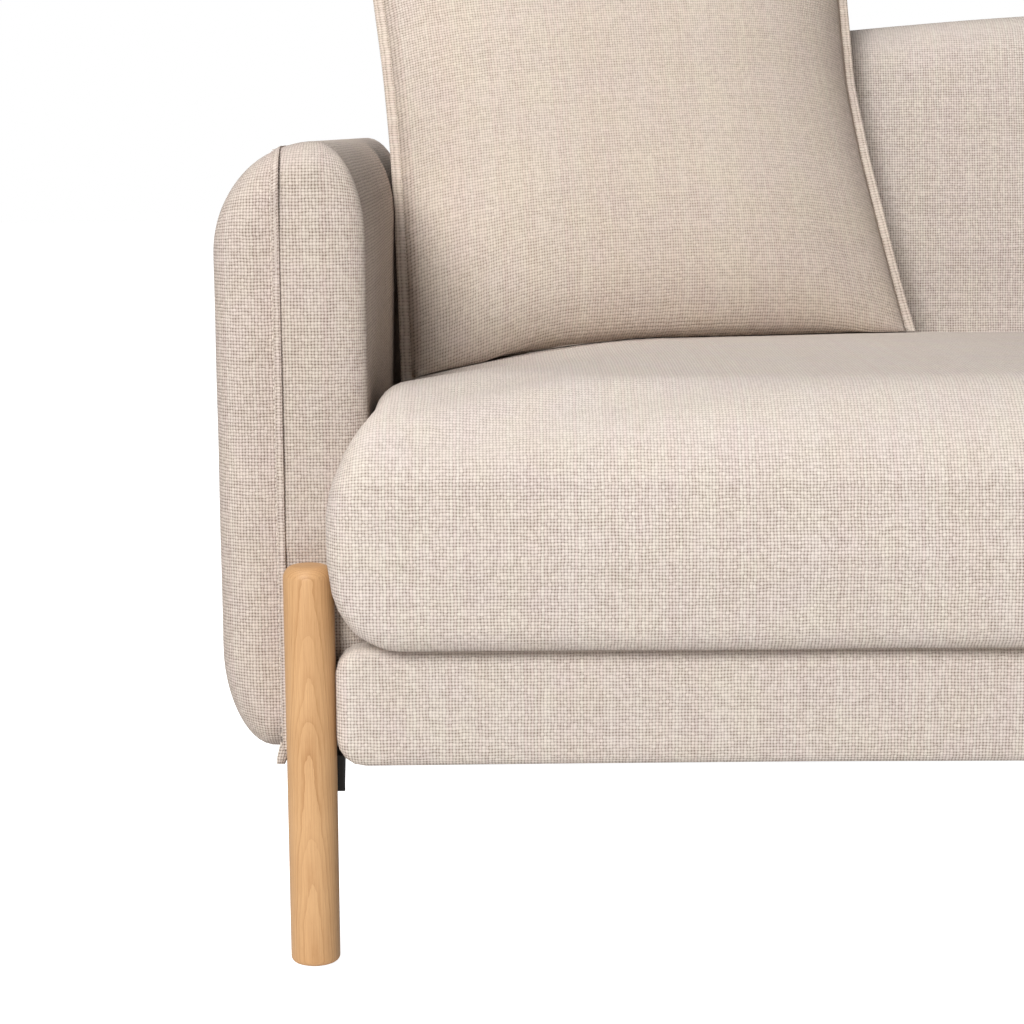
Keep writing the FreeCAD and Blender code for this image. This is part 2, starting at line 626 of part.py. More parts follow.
def zigzag():
    """The wire of one spring, drawn about x = 0."""
    edges = []
    for row in range(ROWS):
        y = first_row + row * pitch
        sign = 1 if row % 2 == 0 else -1
        start, end = V(-half_bar * sign, y, wire_z), V(half_bar * sign, y, wire_z)
        edges.append(Part.makeLine(start, end))
        if row < ROWS - 1:
            bulge = V((half_bar + pitch / 2) * sign, y + pitch / 2, wire_z)
            edges.append(Part.Arc(end, bulge, V(half_bar * sign, y + pitch, wire_z)).toShape())
    wire = Part.Wire(edges)
    ring = Part.Wire([Part.makeCircle(S["wire_radius"].value, V(-half_bar, first_row, wire_z), V(1, 0, 0))])
    return wire.makePipeShell([ring], True, False)


one_spring = zigzag()
copies = []
clips = []
for index in range(SPRINGS):
    x = S["spring_pitch"] * (index - (SPRINGS - 1) / 2.0)
    copy = one_spring.copy()
    copy.translate(V(x.value, 0, 0))
    copies.append(copy)
    for row in (0, ROWS - 1):
        y = first_row + row * pitch
        tag = "%d_%d" % (index, row)
        block = tool_box("clip_block_" + tag, x - 9, y - 6, rail_top, 18, 12, 6)
        way = rod("clip_way_" + tag, S["wire_radius"] + 0.15, 30, x - 15, y, rail_top + 3, "x")
        clips.append(boolean("Cut", "clip_" + tag, block, way))
springs = doc.addObject("Part::Feature", "seat_springs")
springs.Label = "seat_springs"
springs.Shape = Part.makeCompound(copies)
keep(springs)
keep(group("spring_clips", clips))
keep(bar("seat_deck", -S["seat_half"] + 2, -S["seat_front_y"], S["base_top"] - S["deck_thick"],
         (S["seat_half"] - 2) * 2, S["seat_front_y"] + S["spring_rail_y"] + 18, S["deck_thick"]))
keep(bar("dust_cover", -S["seat_half"] + 2, -S["seat_front_y"], S["rail_bottom"] - S["dust_thick"] - 0.2,
         (S["seat_half"] - 2) * 2, S["seat_front_y"] + S["seat_rear_y"], S["dust_thick"]))

side_bolts = []
for side in (-1, 1):
    for y in SIDE_BOLT_Y:
        tag = "%d_%d" % (side + 1, y + 300)
        head_x = (S["leg_axis_x"] + S["arm_bar"] / 2 - 8) * side
        tip_x = (rail_inner - 4) * side
        low = head_x if side < 0 else tip_x
        shank = rod("side_shank_" + tag, S["bolt_radius"], (head_x - tip_x) * side, low, y, SIDE_BOLT_Z, "x")
        cap_x = head_x - 5 if side < 0 else head_x
        cap = rod("side_cap_" + tag, 8, 5, cap_x, y, SIDE_BOLT_Z, "x")
        side_bolts.append(boolean("Fuse", "side_bolt_" + tag, shank, cap))
    for y, z in POST_BOLTS:
        tag = "%d_%d" % (side + 1, z)
        outer, inner = S["seat_half"], S["seat_half"] - 54
        low = -outer if side < 0 else inner
        shank = rod("post_shank_" + tag, S["bolt_radius"], outer - inner, low, y, z, "x")
        cap_x = -inner if side < 0 else inner - 5
        cap = rod("post_cap_" + tag, 8, 5, cap_x, y, z, "x")
        side_bolts.append(boolean("Fuse", "post_bolt_" + tag, shank, cap))
keep(group("frame_bolts", side_bolts))

# ---------------------------------------------------------------- back

tilt = S["back_tilt"]
LEAN = FreeCAD.Rotation(V(1, 0, 0), -tilt.value)


def in_back(u, depth, v):
    """A point of the leaning back: across, through its thickness from the front, and up its face."""
    y = S["back_y"] + sized(depth) * tilt.cos() + sized(v) * tilt.sin()
    z = S["back_z"] - sized(depth) * tilt.sin() + sized(v) * tilt.cos()
    return u, y, z


back = new_body("back_slab")
outline = new_sketch(back, "back_outline", "XZ_Plane")
half, side_tall = S["back_half"].value, S["back_side"].value
arch, corner = S["back_arch"].value, S["back_corner"].value
arch_drop = math.sqrt((arch - corner) ** 2 - (half - corner) ** 2)
centre_v = side_tall - arch_drop
angle = math.degrees(math.atan2(arch_drop, half - corner))
closed_chain(outline, [
    line(-half, 0, half, 0), line(half, 0, half, side_tall),
    arc(half - corner, side_tall, corner, 0, angle), arc(0, centre_v, arch, angle, 180 - angle),
    arc(corner - half, side_tall, corner, 180 - angle, 180), line(-half, side_tall, -half, 0),
], smooth=(1, 2, 3, 4))
outline.addConstraint(Sketcher.Constraint("Horizontal", 0))
outline.addConstraint(Sketcher.Constraint("Vertical", 1))
outline.addConstraint(Sketcher.Constraint("Vertical", 5))
outline.addConstraint(Sketcher.Constraint("Symmetric", 0, 1, 0, 2, -1, 1))
named(outline, "wide", Sketcher.Constraint("DistanceX", 0, 1, 0, 2, 2 * half), S["back_half"] * 2)
named(outline, "side", Sketcher.Constraint("DistanceY", 1, 1, 1, 2, side_tall), S["back_side"])
named(outline, "corner", Sketcher.Constraint("Radius", 2, corner), S["back_corner"])
named(outline, "corner_left", Sketcher.Constraint("Radius", 4, corner), S["back_corner"])
named(outline, "arch", Sketcher.Constraint("Radius", 3, arch), S["back_arch"])
back_pad = back.newObject("PartDesign::Pad", "back_pad")
back_pad.Profile = outline
bind(back_pad, "Length", S["back_thick"])
back_pad.Reversed = True
doc.recompute()
fillet(back, "back_edges", back_pad,
       edges_on_plane(back_pad, "y", (0, S["back_thick"].value), lambda e: e.BoundBox.ZMax < 1e-4), S["back_round"])
place(back, *in_back(0, 0, 0), rotation=LEAN)
doc.recompute()


def back_box(name, u, depth, v, wide, deep, high):
    return tool_box(name, *in_back(u, depth, v), wide, deep, high, rotation=LEAN)


def back_bar(name, u, depth, v, wide, deep, high):
    x, y, z = in_back(u, depth, v)
    return bar(name, x, y, z, wide, deep, high, rotation=LEAN)


platform = tool_box("back_platform", -1000, 100, 100, 2000, 400, S["base_top"] + 0.5 - 100)
front_half = back_box("back_front_half", -1000, -50, -50, 2000, S["back_split"] + 50 - S["seam_gap"], 700)
rear_half = back_box("back_rear_half", -1000, S["back_split"] + S["seam_gap"], -50, 2000, 120, 700)
rear_raw = boolean("Common", "back_rear_raw", back, rear_half)
keep(boolean("Cut", "back_rear_pad", rear_raw, platform))
front_raw = boolean("Common", "back_front_raw", back, front_half)
pocket_half = S["back_half"] - 24
back_pocket = back_box("back_pocket_box", -pocket_half, S["back_pocket"], -40, pocket_half * 2, 60, 380)
back_hollows = group("back_hollows", [back_pocket, platform])
keep(boolean("Cut", "back_front_pad", front_raw, back_hollows))

POST_X = S["seat_half"] - S["rail_thick"] - 0.2
frame_w = S["back_pocket"] + 5
post = back_bar("back_side_post", -POST_X, frame_w, -52, S["post_wide"], S["back_bar"], 327)
post_bores = [rod("post_bore_%d" % z, S["bolt_hole_radius"], 60, -POST_X - 5, y, z, "x") for y, z in POST_BOLTS]
bored("back_side_post", post, post_bores)
rail_half = POST_X - S["post_wide"] - 0.1
keep(back_bar("back_bottom_rail", -rail_half, frame_w, 4, rail_half * 2, S["back_bar"], 60))
keep(back_bar("back_centre_post", -15, frame_w, 64.1, 30, S["back_bar"], 210.9 - 0.2))
keep(back_bar("back_top_rail", -POST_X, frame_w, 275.1, POST_X * 2, S["back_bar"], 60))
straps = []
for index in range(9):
    if index == 4:
        continue
    u = -(S["web_wide"] / 2) + 185.0 * (index - 4)
    straps.append(back_bar("strap_%d" % index, u, frame_w - S["web_thick"] - 0.2, 20, S["web_wide"],
                           S["web_thick"], 300))
keep(group("back_webbing", straps))

# ---------------------------------------------------------------- seat cushion


def end_slopes(name, inset):
    """Two wedges that take the top of the bench cushion down towards its ends."""
    body = new_body(name + "_slope")
    sketch = new_sketch(body, name + "_slope_outline", "XZ_Plane")
    start = S["cushion_slope_start"]
    end = S["cushion_half"] + S["cushion_slope_past"]
    high = S["cushion_front_top"] - inset
    low = S["cushion_end_top"] - inset
    above = high + S["cushion_slope_past"]
    x0, x1, z0, z1, z2 = start.value, end.value, low.value, high.value, above.value
    closed_chain(sketch, [line(x0, z1, x1, z0), line(x1, z0, x1, z2), line(x1, z2, x0, z2), line(x0, z2, x0, z1)])
    sketch.addConstraint(Sketcher.Constraint("Vertical", 1))
    sketch.addConstraint(Sketcher.Constraint("Horizontal", 2))
    sketch.addConstraint(Sketcher.Constraint("Vertical", 3))
    named(sketch, "start", Sketcher.Constraint("DistanceX", -1, 1, 0, 1, x0), start)
    named(sketch, "end", Sketcher.Constraint("DistanceX", -1, 1, 1, 1, x1), end)
    named(sketch, "low", Sketcher.Constraint("DistanceY", -1, 1, 1, 1, z0), low)
    named(sketch, "high", Sketcher.Constraint("DistanceY", -1, 1, 0, 1, z1), high)
    named(sketch, "above", Sketcher.Constraint("DistanceY", -1, 1, 2, 1, z2), above)
    pad = body.newObject("PartDesign::Pad", name + "_slope_pad")
    pad.Profile = sketch
    bind(pad, "Length", S["cushion_front"] * 3)
    pad.Midplane = True
    doc.recompute()
    return group(name + "_slopes", [body, mirrored(name + "_slope_right", body)])


def seat_block(name, inset, lobes):
    """The bench cushion's block: leaning rear face, rounded nose, and swollen front corners."""
    body = new_body(name)
    sketch = new_sketch(body, name + "_side", "YZ_Plane")
    front = S["cushion_front"] - inset
    low = S["cushion_bottom"] + inset
    rear = S["cushion_rear"] - inset
    high_front = S["cushion_front_top"] - inset
    high_rear = S["cushion_rear_top"] - inset
    rear_top = rear + (high_rear - low) * tilt.tan()
    f, l, r, hf, hr, rt = front.value, low.value, rear.value, high_front.value, high_rear.value, rear_top.value
    closed_chain(sketch, [line(-f, l, r, l), line(r, l, rt, hr), line(rt, hr, -f, hf), line(-f, hf, -f, l)])
    sketch.addConstraint(Sketcher.Constraint("Horizontal", 0))
    sketch.addConstraint(Sketcher.Constraint("Vertical", 3))
    named(sketch, "front", Sketcher.Constraint("DistanceX", 0, 1, -1, 1, f), front)
    named(sketch, "rear", Sketcher.Constraint("DistanceX", -1, 1, 0, 2, r), rear)
    named(sketch, "low", Sketcher.Constraint("DistanceY", -1, 1, 0, 1, l), low)
    named(sketch, "high_front", Sketcher.Constraint("DistanceY", -1, 1, 2, 2, hf), high_front)
    named(sketch, "high_rear", Sketcher.Constraint("DistanceY", -1, 1, 1, 2, hr), high_rear)
    named(sketch, "rear_top", Sketcher.Constraint("DistanceX", -1, 1, 1, 2, rt), rear_top)
    pad = body.newObject("PartDesign::Pad", name + "_pad")
    pad.Profile = sketch
    half_wide = S["cushion_half"] - inset
    bind(pad, "Length", half_wide * 2)
    pad.Midplane = True
    doc.recompute()
    nose = []
    for index, edge in enumerate(pad.Shape.Edges, start=1):
        box = edge.BoundBox
        if box.XLength > 100 and abs(box.YMin + f) < 1e-3 and abs(box.ZMin - hf) < 1e-3:
            nose.append("Edge%d" % index)
    first = fillet(body, name + "_nose", pad, nose, S["cushion_nose"] - inset)
    doc.recompute()
    others = []
    for index, edge in enumerate(first.Shape.Edges, start=1):
        box = edge.BoundBox
        if box.XLength < 100:
            continue
        mid = edge.valueAt((edge.FirstParameter + edge.LastParameter) / 2)
        corners = ((-f, l), (r, l), (rt, hr))
        at_corner = any(abs(mid.y - y) < 1e-2 and abs(mid.z - z) < 1e-2 for y, z in corners)
        if at_corner:
            others.append("Edge%d" % index)
    second = fillet(body, name + "_rounds", first, others, S["cushion_round"] - inset)
    doc.recompute()
    ends = edges_on_plane(second, "x", (-half_wide.value, half_wide.value))
    third = fillet(body, name + "_ends", second, ends, S["cushion_end_round"] - inset)
    doc.recompute()
    body = boolean("Cut", name + "_sloped", body, end_slopes(name, inset))
    if lobes:
        swell = new_body(name + "_lobes")
        view = new_sketch(swell, name + "_lobe_outline", "XZ_Plane", S["lobe_front"])
        lh, lo, hi, rr = (S[k].value for k in ("lobe_half", "lobe_low", "lobe_high", "lobe_round"))
        closed_chain(view, [
            line(rr - lh, lo, lh - rr, lo), arc(lh - rr, lo + rr, rr, -90, 0), line(lh, lo + rr, lh, hi - rr),
            arc(lh - rr, hi - rr, rr, 0, 90), line(lh - rr, hi, rr - lh, hi), arc(rr - lh, hi - rr, rr, 90, 180),
            line(-lh, hi - rr, -lh, lo + rr), arc(rr - lh, lo + rr, rr, 180, 270),
        ], smooth=tuple(range(8)))
        view.addConstraint(Sketcher.Constraint("Vertical", 2))
        view.addConstraint(Sketcher.Constraint("Horizontal", 4))
        view.addConstraint(Sketcher.Constraint("Vertical", 6))
        view.addConstraint(Sketcher.Constraint("Symmetric", 0, 1, 0, 2, -2))
        for i in (1, 3, 5):
            view.addConstraint(Sketcher.Constraint("Equal", i, 7))
        named(view, "round_", Sketcher.Constraint("Radius", 7, rr), S["lobe_round"])
        named(view, "low", Sketcher.Constraint("DistanceY", -1, 1, 0, 1, lo), S["lobe_low"])
        named(view, "high", Sketcher.Constraint("DistanceY", -1, 1, 4, 1, hi), S["lobe_high"])
        named(view, "wide", Sketcher.Constraint("DistanceX", 6, 1, 2, 1, 2 * lh), S["lobe_half"] * 2)
        grow = swell.newObject("PartDesign::Pad", name + "_lobe_pad")
        grow.Profile = view
        bind(grow, "Length", S["lobe_front"] - S["lobe_rear"])
        grow.Reversed = True
        doc.recompute()
        edges = edges_on_plane(grow, "y", (-S["lobe_front"].value, -S["lobe_rear"].value))
        fillet(swell, name + "_lobe_edges", grow, edges, S["lobe_edge"])
        doc.recompute()
        return boolean("Fuse", name + "_swollen", body, swell)
    return body


outer_block = seat_block("cushion_outer", sized(0), True)
inner_block = seat_block("cushion_hollow", S["cover_wall"], False)
keep(boolean("Cut", "seat_cushion_cover", outer_block, inner_block))
core = seat_block("cushion_foam", S["cover_wall"] + 0.5, False)
core.Label = "seat_cushion_core"
keep(core)

# the zip along the rear of the cover: two woven tapes with the teeth, and a slider
ZIP_UP = 88
zip_y = S["cushion_rear"] + ZIP_UP * tilt.tan() + 0.4 / tilt.cos()
tape = bar("seat_cushion_zip", -S["zip_half"], zip_y, S["cushion_bottom"] + ZIP_UP, S["zip_half"] * 2,
           S["zip_thick"], S["zip_wide"], rotation=LEAN)
keep(tape)
zip_middle_z = S["cushion_bottom"] + ZIP_UP + S["zip_wide"] / 2
zip_middle_y = zip_y + S["zip_wide"] / 2 * tilt.tan()
SLIDER_HALF, TAB_HALF = 4, 2.5
slider_body = bar("zip_slider_body", -S["zip_half"] + 12,
                  zip_middle_y + (S["zip_thick"] + 0.3) / tilt.cos() - SLIDER_HALF * tilt.tan(),
                  zip_middle_z - SLIDER_HALF, 12, 2.2, SLIDER_HALF * 2, rotation=LEAN)
slider_tab = bar("zip_slider_tab", -S["zip_half"] + 23,
                 zip_middle_y + (S["zip_thick"] + 0.8) / tilt.cos() - TAB_HALF * tilt.tan(),
                 zip_middle_z - TAB_HALF, 24, 1.2, TAB_HALF * 2, rotation=LEAN)
keep(boolean("Fuse", "seat_cushion_zip_slider", slider_body, slider_tab))

# ---------------------------------------------------------------- scatter pillows

PILLOW_STEPS = ((1.0, 0.0), (0.965, 0.20), (0.86, 0.50), (0.66, 0.78), (0.38, 0.95), (0.10, 1.0))


def pillow_block(name, half_size, thick):
    """A square knife-edged pillow lying in its own XZ plane, swelling both ways along Y."""
    body = new_body(name)
    for sign in (1, -1):
        sections = []
        for step, (share, rise) in enumerate(PILLOW_STEPS):
            sketch = new_sketch(body, "%s_%d_%d" % (name, sign + 1, step), "XZ_Plane", thick * (rise * sign))
            edge = half_size * share
            radius = S["pillow_corner"] * share
            e, r = edge.value, radius.value
            closed_chain(sketch, [
                line(r - e, -e, e - r, -e), arc(e - r, r - e, r, -90, 0), line(e, r - e, e, e - r),
                arc(e - r, e - r, r, 0, 90), line(e - r, e, r - e, e), arc(r - e, e - r, r, 90, 180),
                line(-e, e - r, -e, r - e), arc(r - e, r - e, r, 180, 270),
            ], smooth=tuple(range(8)))
            sketch.addConstraint(Sketcher.Constraint("Horizontal", 0))
            sketch.addConstraint(Sketcher.Constraint("Vertical", 2))
            sketch.addConstraint(Sketcher.Constraint("Horizontal", 4))
            sketch.addConstraint(Sketcher.Constraint("Vertical", 6))
            sketch.addConstraint(Sketcher.Constraint("Symmetric", 5, 3, 1, 3, -1, 1))
            for i in (1, 3, 5):
                sketch.addConstraint(Sketcher.Constraint("Equal", i, 7))
            named(sketch, "round_", Sketcher.Constraint("Radius", 7, r), radius)
            named(sketch, "wide", Sketcher.Constraint("DistanceX", 6, 1, 2, 1, 2 * e), edge * 2)
            named(sketch, "tall", Sketcher.Constraint("DistanceY", 0, 1, 4, 1, 2 * e), edge * 2)
            sections.append(sketch)
        doc.recompute()
        loft = body.newObject("PartDesign::AdditiveLoft", "%s_loft_%d" % (name, sign + 1))
        loft.Profile = sections[0]
        loft.Sections = sections[1:]
        loft.Ruled = False
        doc.recompute()
    return body


PILLOW_AT = (-660.5, 150.5, 632.5)
PILLOW_TURN = FreeCAD.Rotation(V(0, 0, 1), 10)
PILLOW_TURN = PILLOW_TURN * FreeCAD.Rotation(V(1, 0, 0), -18) * FreeCAD.Rotation(V(0, 1, 0), -1.5)
pillow_outer = pillow_block("pillow_outer", S["pillow_half"], S["pillow_thick"])
pillow_hollow = pillow_block("pillow_hollow", S["pillow_half"] - S["pillow_flange"],
                             S["pillow_thick"] - S["cover_wall"])
cover = boolean("Cut", "left_pillow_cover", pillow_outer, pillow_hollow)
place(cover, *PILLOW_AT, rotation=PILLOW_TURN)
keep_pair("pillow_cover", cover)
filling = pillow_block("left_pillow_filling", S["pillow_half"] - S["pillow_flange"] - 0.8,
                       S["pillow_thick"] - S["cover_wall"] - 0.5)
place(filling, *PILLOW_AT, rotation=PILLOW_TURN)
keep_pair("pillow_filling", filling)

# ---------------------------------------------------------------- check and write

doc.recompute()
faults = ["%s %s" % (item.Name, item.State) for item in doc.Objects
          if "Invalid" in item.State or "Error" in item.State]
for item in NODES:
    if item.Shape.isNull() or not item.Shape.isValid() or not item.Shape.Solids:
        faults.append("bad shape " + item.Label)
if faults:
    raise RuntimeError("; ".join(faults))
for item in NODES:
    item.Shape.exportStep("parts/%s.step" % item.Label)
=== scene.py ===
import bpy
import math
import numpy as np
from mathutils import Vector, Matrix, geometry
from mathutils.bvhtree import BVHTree


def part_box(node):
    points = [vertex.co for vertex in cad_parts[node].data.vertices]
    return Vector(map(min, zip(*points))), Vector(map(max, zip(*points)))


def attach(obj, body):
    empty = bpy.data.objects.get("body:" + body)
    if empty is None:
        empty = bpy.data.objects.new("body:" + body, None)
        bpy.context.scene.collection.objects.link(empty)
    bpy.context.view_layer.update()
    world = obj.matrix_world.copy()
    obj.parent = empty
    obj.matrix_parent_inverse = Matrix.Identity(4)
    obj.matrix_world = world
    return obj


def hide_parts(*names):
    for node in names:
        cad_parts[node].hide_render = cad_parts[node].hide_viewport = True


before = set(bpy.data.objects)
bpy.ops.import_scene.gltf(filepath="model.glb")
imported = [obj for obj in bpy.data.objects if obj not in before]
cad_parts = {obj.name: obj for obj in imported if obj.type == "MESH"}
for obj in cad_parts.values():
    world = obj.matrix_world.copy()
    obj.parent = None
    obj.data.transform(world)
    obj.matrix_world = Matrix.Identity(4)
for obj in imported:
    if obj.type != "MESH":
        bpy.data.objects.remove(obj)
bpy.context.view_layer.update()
MM = 0.001

# ---------------------------------------------------------------- node helpers


class Value:
    """A number in a node tree. Arithmetic on it adds math nodes to the tree."""

    def __init__(self, shading, socket):
        self.shading, self.socket = shading, socket

    def __add__(self, other):
        return self.shading.math("ADD", self, other)

    def __sub__(self, other):
        return self.shading.math("SUBTRACT", self, other)

    def __rsub__(self, other):
        return self.shading.math("SUBTRACT", other, self)

    def __mul__(self, other):
        return self.shading.math("MULTIPLY", self, other)

    def __truediv__(self, other):
        return self.shading.math("DIVIDE", self, other)

    def __pow__(self, other):
        return self.shading.math("POWER", self, other)


class Shading:
    """A node material built round one Principled shader."""

    def __init__(self, name):
        self.material = bpy.data.materials.new(name)
        self.material.use_nodes = True
        self.tree = self.material.node_tree
        self.tree.nodes.clear()
        out = self.node("OutputMaterial")
        self.shader = self.node("BsdfPrincipled")
        self.tree.links.new(self.shader.outputs[0], out.inputs[0])

    def node(self, kind):
        return self.tree.nodes.new("ShaderNode" + kind)

    def feed(self, socket, value):
        """Gives a socket a link, a number or a colour."""
        if isinstance(value, Value):
            self.tree.links.new(value.socket, socket)
        elif isinstance(value, tuple) and len(value) == 3:
            socket.default_value = value + (1.0,)
        else:
            socket.default_value = value

    def set(self, **values):
        """Feeds the shader's inputs, with _ for the spaces in their names."""
        for name, value in values.items():
            self.feed(self.shader.inputs[name.replace("_", " ")], value)

    def math(self, operation, *values, clamp=False):
        node = self.node("Math")
        node.operation = operation
        node.use_clamp = clamp
        for socket, value in zip(node.inputs, values):
            self.feed(socket, value)
        return Value(self, node.outputs[0])

    def combine(self, x, y, z=0.0):
        node = self.node("CombineXYZ")
        for socket, value in zip(node.inputs, (x, y, z)):
            self.feed(socket, value)
        return Value(self, node.outputs[0])

    def separate(self, vector):
        node = self.node("SeparateXYZ")
        self.feed(node.inputs[0], vector)
        return [Value(self, socket) for socket in node.outputs]

    def noise(self, vector, scale, detail=2.0, roughness=0.5):
        node = self.node("TexNoise")
        self.feed(node.inputs["Vector"], vector)
        self.feed(node.inputs["Scale"], scale)
        self.feed(node.inputs["Detail"], detail)
        self.feed(node.inputs["Roughness"], roughness)
        return Value(self, node.outputs[0])

    def white(self, x, y):
        """One random number for each whole pair of numbers."""
        node = self.node("TexWhiteNoise")
        node.noise_dimensions = "2D"
        self.feed(node.inputs["Vector"], self.combine(x, y))
        return Value(self, node.outputs[0])

    def mix(self, factor, a, b, blend="MIX"):
        node = self.node("Mix")
        node.data_type = "RGBA"
        node.blend_type = blend
        for index, value in ((0, factor), (6, a), (7, b)):
            self.feed(node.inputs[index], value)
        return Value(self, node.outputs[2])

    def remap(self, value, a, b, c, d):
        node = self.node("MapRange")
        for socket, number in zip(node.inputs, (value, a, b, c, d)):
            self.feed(socket, number)
        return Value(self, node.outputs[0])

    def bump(self, height, strength, distance):
        node = self.node("Bump")
        self.feed(node.inputs["Strength"], strength)
        self.feed(node.inputs["Distance"], distance)
        self.feed(node.inputs["Height"], height)
        self.set(Normal=Value(self, node.outputs[0]))

    def coords(self, kind):
        return Value(self, self.node("TexCoord").outputs[kind])


# ---------------------------------------------------------------- materials

PITCH = 2.33 * MM


def woven(name, light, dark, contrast=1.0):
    """Coarse plain weave of slubby yarn on the Weave UV layer, which is in metres."""
    s = Shading(name)
    layer = s.node("UVMap")
    layer.uv_map = "Weave"
    uv = Value(s, layer.outputs[0])
    u0, v0, _ = s.separate(uv)
    u = s.noise(uv, 70.0, 3.0, 0.6) * 0.8 + u0 / PITCH
    v = s.noise(s.combine(v0, u0, 0.3), 62.0, 3.0, 0.6) * 0.8 + v0 / PITCH
    cell_u, cell_v = s.math("FLOOR", u), s.math("FLOOR", v)
    crown_u, crown_v = (s.math("ABSOLUTE", s.math("SINE", k * math.pi)) for k in (u, v))
    # warp over weft in one cell, weft over warp in the next
    choose = s.node("Mix")
    s.feed(choose.inputs[0], s.math("PINGPONG", cell_u + cell_v, 1.0))
    s.feed(choose.inputs[2], crown_u ** 0.75 * (crown_v * 0.55 + 0.45))
    s.feed(choose.inputs[3], crown_v ** 0.75 * (crown_u * 0.55 + 0.45))
    knot = Value(s, choose.outputs[0])
    cell_rand = s.white(cell_u, cell_v)
    warp_rand, weft_rand = s.white(cell_u, 17.0), s.white(31.0, cell_v)
    slub = s.noise(s.combine(u0 * 110.0, v0 * 620.0), 1.0)
    slub_up = s.noise(s.combine(u0 * 620.0, v0 * 110.0, 4.0), 1.0)
    fluff = s.noise(uv, 900.0, 2.0, 0.6)
    # darkness: painted shade in the hollows between knots, on the low sides of each knot and in the pinholes
    # where four yarns meet; the duller knots, yarns and slubs are the yarn's own tone
    hollow_shade = (1.0 - crown_u) * (1.0 - crown_v) * s.remap(cell_rand, 0.0, 1.0, 0.38, 1.45)
    d = hollow_shade * 0.72 + (1.0 - knot) * 0.42 + cell_rand * 0.16 + warp_rand * 0.07 + weft_rand * 0.07
    d = (d + slub * 0.14 + slub_up * 0.14 + fluff * 0.24 - 0.35) * contrast
    # painted shade: the weave's painted hollow shade fades where the cloth faces up, so upward faces read
    # lighter and smoother
    up = s.separate(s.coords("Normal"))[2]
    d = s.math("MULTIPLY", d, s.remap(up, 0.25, 0.95, 1.0, 0.42), clamp=True)
    tone = s.remap(s.noise(uv, 26.0, 3.0, 0.6), 0.38, 0.62, 0.0, 1.0)
    tint = s.mix(tone, (1.0, 0.988, 0.965), (0.990, 0.966, 0.980))
    yarn = s.mix(warp_rand, (0.985, 0.995, 0.98), (1.0, 0.975, 0.975))
    color = s.mix(1.0, s.mix(d, light, dark), tint, "MULTIPLY")
    s.bump(cell_rand * 0.30 + knot + slub * 0.5 + fluff * 0.25, 0.75, 0.6 * MM)
    s.set(Base_Color=s.mix(1.0, color, yarn, "MULTIPLY"), Roughness=s.remap(d, 0.0, 1.0, 0.86, 0.97),
          Specular_IOR_Level=0.20, Sheen_Weight=0.12, Sheen_Roughness=0.5, Sheen_Tint=(1.0, 0.95, 0.9))
    return s.material


def oak(name):
    """Light ring-porous wood: rings about a pith behind the post, leaning so that the front shows arches."""
    s = Shading(name)
    # the Object coordinate of each leg starts at its own foot
    place = s.coords("Object")
    x, y, z = s.separate(place)
    warp = s.noise(place, 9.0)
    px = x + (warp - 0.5) * 0.006
    py = y - 0.052 + z * 0.034 + warp * 0.005
    r = s.math("SQRT", px * px + py * py) + s.noise(place, 60.0) * 0.0009
    ring = r / (1.35 * MM)
    late = s.math("FRACT", ring) ** 2.6
    ring_rand = s.white(s.math("FLOOR", ring), 3.0)
    fibre = s.noise(s.combine(x * 1500.0, y * 1500.0, z * 28.0), 1.0, 3.0, 0.6)
    pores = s.noise(s.combine(x * 2600.0, y * 2600.0, z * 130.0), 1.0, 1.0)
    broad = s.noise(place, 14.0)
    d = late * s.remap(ring_rand, 0.0, 1.0, 0.20, 0.62)
    d = d + s.remap(fibre, 0.35, 0.65, 0.0, 1.0) * 0.34 + s.math("GREATER_THAN", pores, 0.64) * 0.16
    d = s.math("ADD", d, s.remap(broad, 0.35, 0.65, -0.12, 0.12), clamp=True)
    s.bump(fibre * 0.5 - late * 0.5, 0.18, 0.25 * MM)
    s.set(Base_Color=s.mix(d, (0.60, 0.355, 0.170), (0.39, 0.195, 0.074)),
          Roughness=s.remap(d, 0.0, 1.0, 0.42, 0.6), Specular_IOR_Level=0.35)
    return s.material


def timber(name, light, dark, along):
    """Sawn softwood or ply of the hidden frame, grain along one axis."""
    s = Shading(name)
    place = s.coords("Object")
    stretched = [value * (12.0 if axis == along else 420.0) for axis, value in zip("xyz", s.separate(place))]
    grain = s.noise(s.combine(*stretched), 1.0, 4.0, 0.6)
    knots = s.noise(place, 7.0)
    d = s.math("ADD", s.remap(knots, 0.3, 0.7, 0.0, 0.4), s.remap(grain, 0.3, 0.7, 0.0, 0.7), clamp=True)
    s.bump(grain, 0.25, 0.4 * MM)
    s.set(Base_Color=s.mix(d, light, dark), Roughness=0.75)
    return s.material


def speckled(name, light, dark, scale, roughness, bump_depth, metallic=0.0, specular=0.4):
    """Fine mottled finish for felt, non-woven cloth, foam, painted and plated steel."""
    s = Shading(name)
    place = s.coords("Object")
    fine = s.noise(place, scale, 3.0, 0.65)
    mixed = s.noise(place, scale * 0.06) * 0.4 + fine * 0.6
    smooth, rough = max(roughness - 0.08, 0.05), min(roughness + 0.08, 1.0)
    s.bump(fine, 0.35, bump_depth)
    s.set(Base_Color=s.mix(s.remap(mixed, 0.35, 0.65, 0.0, 1.0), light, dark),
          Roughness=s.remap(fine, 0.3, 0.7, smooth, rough), Metallic=metallic, Specular_IOR_Level=specular)
    return s.material


